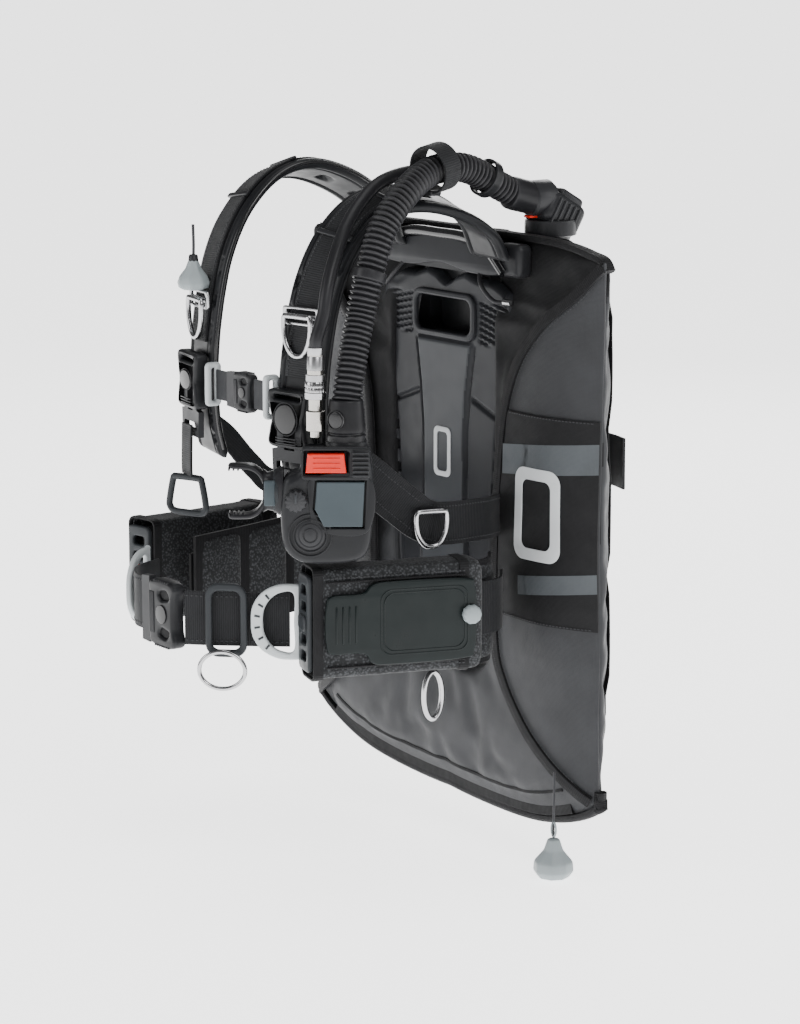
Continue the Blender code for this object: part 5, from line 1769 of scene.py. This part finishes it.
def make_hip_pad(side):
    """A hip pad: three swollen blocks sewn to one backing."""
    sign = SIDE[side]
    line = even_route(smooth_route([(x * sign, y, HIP_PAD_Z) for x, y in HIP_PAD], 0.003), 91)
    w, t = 0.0465, 0.0038
    section = [(-w, -t * 0.4), (-w, t * 0.4), (-w + 0.003, t), (0.0, t), (w - 0.003, t),
               (w, t * 0.4), (w, -t * 0.4), (w - 0.003, -t), (0.0, -t), (-w + 0.003, -t)]
    pieces = []
    for first, last in ((3, 30), (33, 60), (63, 88)):
        part = line[first:last + 1]
        size = []
        for i in range(len(part)):
            ends = min(i, len(part) - 1 - i)
            size.append((min(1.0, 0.86 + 0.05 * ends), min(1.0, 0.5 + 0.2 * ends)))
        cushion = sweep("cushion", part, Vector((0, 0, 1)), section, scale=size)
        puffed(cushion, 0.0042, 4.0, 0.0022)
        relaxed(cushion, 4)
        cushion.data.materials.clear()
        pieces.append(tinted(cushion, mesh_cloth))
    backing = sweep("backing", line, Vector((0, 0, 1)), flat_section(0.098, 0.0030))
    pieces.append(tinted(backing, nylon_dark_and_shade))
    finish_piece(joined("hip_pad_visual_" + side, pieces), "harness", None,
                           ("hip_pad_" + side,), 60.0)


# ---------------------------------------------------------------- weight pockets

POCKETS = {"left": ((0.153, -0.196, -0.118), radians(-17)),
           "right": ((-0.166, -0.196, -0.118), radians(8))}


def make_pocket(side):
    """A sewn pocket: a shell open at the front, full in the middle and creased at its gussets."""
    place = at_frame(*POCKETS[side])
    sign = SIDE[side]
    rings, around = 64, 112
    verts, uvs = [], []
    for i in range(rings):
        y = -0.0785 + 0.1565 * i / (rings - 1)
        tail = max(0.0, (y - 0.066) / 0.012)
        shrink = (1.0 - min(1.0, tail) ** 2.4) ** 0.5 * 0.22 + 0.78
        belly = sin(pi * min(1.0, max(0.0, (y + 0.0785) / 0.157))) ** 0.5
        for k in range(around):
            angle = 2 * pi * k / around
            c, s = cos(angle), sin(angle)
            x = 0.0186 * (abs(c) ** 0.30) * (1 if c >= 0 else -1) * shrink
            z = 0.0505 * (abs(s) ** 0.24) * (1 if s >= 0 else -1) * (0.4 + 0.6 * shrink)
            x += sign * 0.0016 * belly * (1 - (z / 0.052) ** 2) * (1 if c * sign > 0 else 0)
            crease = noise.noise(Vector((x * 40 + 3.0 * sign, y * 26, z * 34)))
            fold = abs(noise.noise(Vector((2.0, y * 55 + z * 22, z * 16)))) * 0.0022
            x -= (1 if c >= 0 else -1) * (fold * belly + abs(crease) * 0.0006)
            z -= (1 if s >= 0 else -1) * 0.0012 * abs(crease) * belly
            verts.append((x, y, z))
            uvs.append((y, angle * 0.05))
    faces = wrapped_faces(rings, around)
    faces.append(tuple((rings - 1) * around + k for k in range(around)))
    shell = mesh_piece("pocket_visual_" + side, verts, faces, uvs)
    outward(shell)
    if shell.data.polygons[0].normal.x * shell.data.polygons[0].center.x < 0:
        shell.data.flip_normals()
    thickened(shell, 0.0016, -1.0)
    shell.data.transform(place)
    finish_piece(shell, "harness", mesh_cloth, ("pocket_" + side,), 60.0)

    for name, y, inset in (("mouth", -0.0775, 0.0), ("rear", 0.0600, 0.0006)):
        loop = [(x, y, z) for x, z in rounded_rectangle(0.0188 - inset, 0.0508 - inset, 0.0070, 6)]
        rim = sweep("pocket_%s_binding_%s" % (name, side), [Vector(p) for p in loop],
                    Vector((0, 1, 0)), flat_section(0.0095, 0.0022), closed=True)
        rim.data.transform(place)
        finish_piece(rim, "harness", tape)
    side_x = 0.0208 * sign
    for z in (0.0420, -0.0425):
        line = [place @ Vector((side_x - 0.0006 * sign, -0.070 + 0.0045 * i, z)) for i in range(30)]
        out = place.to_3x3() @ Vector((sign, 0, 0))
        stitches("pocket_seam_%s_%d" % (side, z > 0), line, out, "harness")
        line = [p - Vector((0, 0, 0.0035 * (1 if z > 0 else -1))) for p in line]
        welt = sweep("pocket_welt_%s_%d" % (side, z > 0), line, out, round_section(0.0011, 10))
        finish_piece(welt, "harness", tape)


def make_pouch(side):
    """A weight pouch: swollen cloth with a slotted pull bracket at its front."""
    place = at_frame(*POCKETS[side])
    pouch = block("pouch", (0.0240, 0.1440, 0.0860), None, (0, -0.0045, 0), 0.006, 3)
    puffed(pouch, 0.0048, 4.0, 0.0022)
    relaxed(pouch, 3)
    pouch.data.transform(place)
    pouch.data.materials.clear()
    pouch.data.materials.append(nylon_dark_and_shade)
    finish_piece(pouch, "weight_pouch_" + side, None, ("weight_pouch_" + side,),
                           60.0)
    pouch.name = "weight_pouch_visual_" + side

    face = place @ Matrix.Translation((0, -0.0835, 0))
    outline = [rounded_rectangle(0.0155, 0.0440, 0.0060, 6)]
    outline += [rounded_rectangle(0.0085, 0.0042, 0.0030, 5, (0.0, z))
                for z in (0.0300, 0.0150, -0.0150, -0.0300)]
    bracket = plate("bracket", outline, 0.0050, 0.0016, face, 3)
    bracket.data.materials.append(slate)
    boss = plate("boss", [rounded_rectangle(0.0100, 0.0070, 0.0040, 6)], 0.0030, 0.0012,
                 face @ Matrix.Translation((0, -0.0030, 0)), 3)
    boss.data.materials.append(red if side == "right" else slate)
    finish_piece(joined("pouch_bracket_" + side, [bracket, boss]), "weight_pouch_" + side, None,
                 ())


def make_pocket_flap():
    """The near pocket's moulded rubber flap, with contour lines and a snap knob."""
    place = at_frame(*POCKETS["left"])
    outer = place @ Matrix.Translation((0.0226, 0, 0)) @ Matrix.Rotation(pi / 2, 4, "Z")
    outline = [(-0.0710, 0.0190), (-0.0660, 0.0270), (-0.0380, 0.0280), (-0.0290, 0.0350),
               (-0.0100, 0.0372), (0.0580, 0.0360), (0.0680, 0.0290), (0.0700, 0.0),
               (0.0680, -0.0300), (0.0580, -0.0376), (-0.0100, -0.0388), (-0.0280, -0.0366),
               (-0.0370, -0.0270), (-0.0660, -0.0260), (-0.0710, -0.0180), (-0.0722, 0.0)]
    flap = plate("flap", [curved_outline(outline, 0.002)], 0.0042, 0.0016, outer, 4)
    flap.data.materials.append(flap_gel)
    pieces = [flap]
    for inset in (0.0060, 0.0090):
        half_x, half_z = 0.0470 - inset, 0.0355 - inset
        line = [Vector((x + 0.0205, -0.0019, z)) for x, z in
                rounded_rectangle(half_x, half_z, 0.010, 8)]
        bead_line = sweep("contour", line, Vector((0, 1, 0)), round_section(0.0008, 8), closed=True)
        bead_line.data.transform(outer)
        pieces.append(tinted(bead_line, flap_gel))
    for x in (-0.0620, -0.0560, -0.0500, -0.0440):
        rib = block("rib", (0.0018, 0.0014, 0.034), outer, (x, -0.0022, 0), 0.0006, 2)
        pieces.append(tinted(rib, flap_gel))
    finish_piece(joined("pocket_flap", pieces), "harness", None, ())
    seat = outer @ Matrix.Translation((0.0640, -0.0030, 0.0030)) @ Matrix.Rotation(pi / 2, 4, "X")
    knob = turned("pocket_knob", [(0.0006, 0.0068), (0.0060, 0.0066), (0.0082, 0.0050),
                                  (0.0088, 0.0020), (0.0084, -0.0004)], seat, 40, 10, 0.03)
    finish_piece(knob, "harness", knob_grey, smooth=50.0)


# ---------------------------------------------------------------- lower dump and tank band

def make_dump_knob():
    """The lower dump's cord and its faceted pull knob."""
    pivot = Vector((0.198, -0.048, -0.2795))
    knob = turned("knob", [(0.0010, -0.0592), (0.0060, -0.0600), (0.0095, -0.0705),
                           (0.0185, -0.0810), (0.0193, -0.0900), (0.0145, -0.0965),
                           (0.0010, -0.0970)], Matrix.Translation(pivot), 8)
    rounded(knob, 0.0016, 3, 20.0)
    bake_down(knob)
    knob.data.materials.append(knob_grey)
    cord = tube("cord", [pivot + Vector((0, 0, 0.0035)), pivot + Vector((0.0004, 0, -0.020)),
                         pivot + Vector((-0.0003, 0, -0.045)), pivot + Vector((0, 0, -0.062))],
                0.0011, 0.003, 12)
    cord.data.materials.append(thread)
    loop = tube("loop", [pivot + Vector((0.0034 * sin(a), 0, -0.0510 + 0.0070 * cos(a)))
                         for a in [2 * pi * i / 12 for i in range(12)]], 0.0010, 0.002, 10, True)
    loop.data.materials.append(knob_grey)
    finish_piece(joined("dump_knob_visual", [knob, cord, loop]), "dump_knob", None,
                 ("dump_knob",), 40.0)


BAND_Z = -0.012
BAND_WIDTH = 0.050


def make_tank_band():
    """The tank band with its tail, and the over-centre cam buckle that closes it."""
    half = [(0.0700, -0.0095), (0.0735, -0.0040), (0.0735, 0.0300), (0.0880, 0.0520),
            (0.0920, 0.0680), (0.0800, 0.0840), (0.0450, 0.0930)]
    loop = half + [(0.0, 0.0950)] + [(-x, y) for x, y in reversed(half)]
    band = upright_band("band", loop, BAND_Z, BAND_WIDTH, closed=True)
    band.data.materials.append(webbing)
    tail = upright_band("tail", [(0.048, 0.1010), (0.090, 0.1005), (0.120, 0.0930)], BAND_Z,
                        BAND_WIDTH)
    tail.data.materials.append(webbing)
    finish_piece(joined("tank_band_visual", [band, tail]), "harness", None, ("tank_band",))
    place = Matrix.Translation((0.024, 0.1008, BAND_Z))
    frame_plate = plate("cam_buckle_visual", [rounded_rectangle(0.0300, 0.0310, 0.0070, 6),
                                              rounded_rectangle(0.0040, 0.0255, 0.0020, 4,
                                                                (-0.018, 0.0)),
                                              rounded_rectangle(0.0040, 0.0255, 0.0020, 4,
                                                                (0.018, 0.0))],
                        0.0060, 0.0018, place, 3)
    finish_piece(frame_plate, "harness", polymer, ("cam_buckle",))
    hinge = Matrix.Translation((0.050, 0.1110, BAND_Z))
    lever = plate("lever", [rounded_rectangle(0.0290, 0.0280, 0.0060, 6, (-0.025, 0.0)),
                            rounded_rectangle(0.0030, 0.0220, 0.0020, 4, (-0.020, 0.0))],
                  0.0060, 0.0020, hinge, 3)
    lever.data.materials.append(polymer)
    pieces = [lever]
    for i in range(5):
        rib = block("rib", (0.0016, 0.0014, 0.040), hinge, (-0.034 - 0.0035 * i, 0.0030, 0),
                    0.0005, 2)
        pieces.append(tinted(rib, polymer))
    finish_piece(joined("cam_lever_visual", pieces), "cam_lever", None, ("cam_lever",))


for side_name in SIDE:
    make_strap(side_name)
    make_chest_hardware(side_name)
    make_lower_webbing(side_name)
    make_belt(side_name)
    make_belt_ring(side_name)
    make_hip_pad(side_name)
    make_pocket(side_name)
    make_pouch(side_name)
make_shoulder_knob()
make_sternum()
make_pull_tail()
make_ring("pull_ring_right",
          [(-0.0140, 0, 0.0), (0.0, 0, 0.0003), (0.0140, 0, 0.0), (0.0170, 0, -0.0025),
           (0.0215, 0, -0.0230), (0.0210, 0, -0.0290), (0.0160, 0, -0.0330), (0.0, 0, -0.0335),
           (-0.0160, 0, -0.0330), (-0.0210, 0, -0.0290), (-0.0215, 0, -0.0230),
           (-0.0170, 0, -0.0025)], 0.0032,
          at_frame((-STRAP_X, -0.268, -0.018), radians(20)), slate)
make_ring("lower_ring_left", d_ring_points(0.030, 0.0325), 0.0025,
          at_frame((0.1385, -0.145, -0.0300), radians(78)))
make_ring("wing_ring_left", oval_points(0.010, 0.022), 0.0025,
          at_frame((0.1370, -0.1420, -0.1800), pi / 2))
make_belt_keeper()
make_waist_buckle()
make_pocket_flap()
make_dump_knob()
make_tank_band()
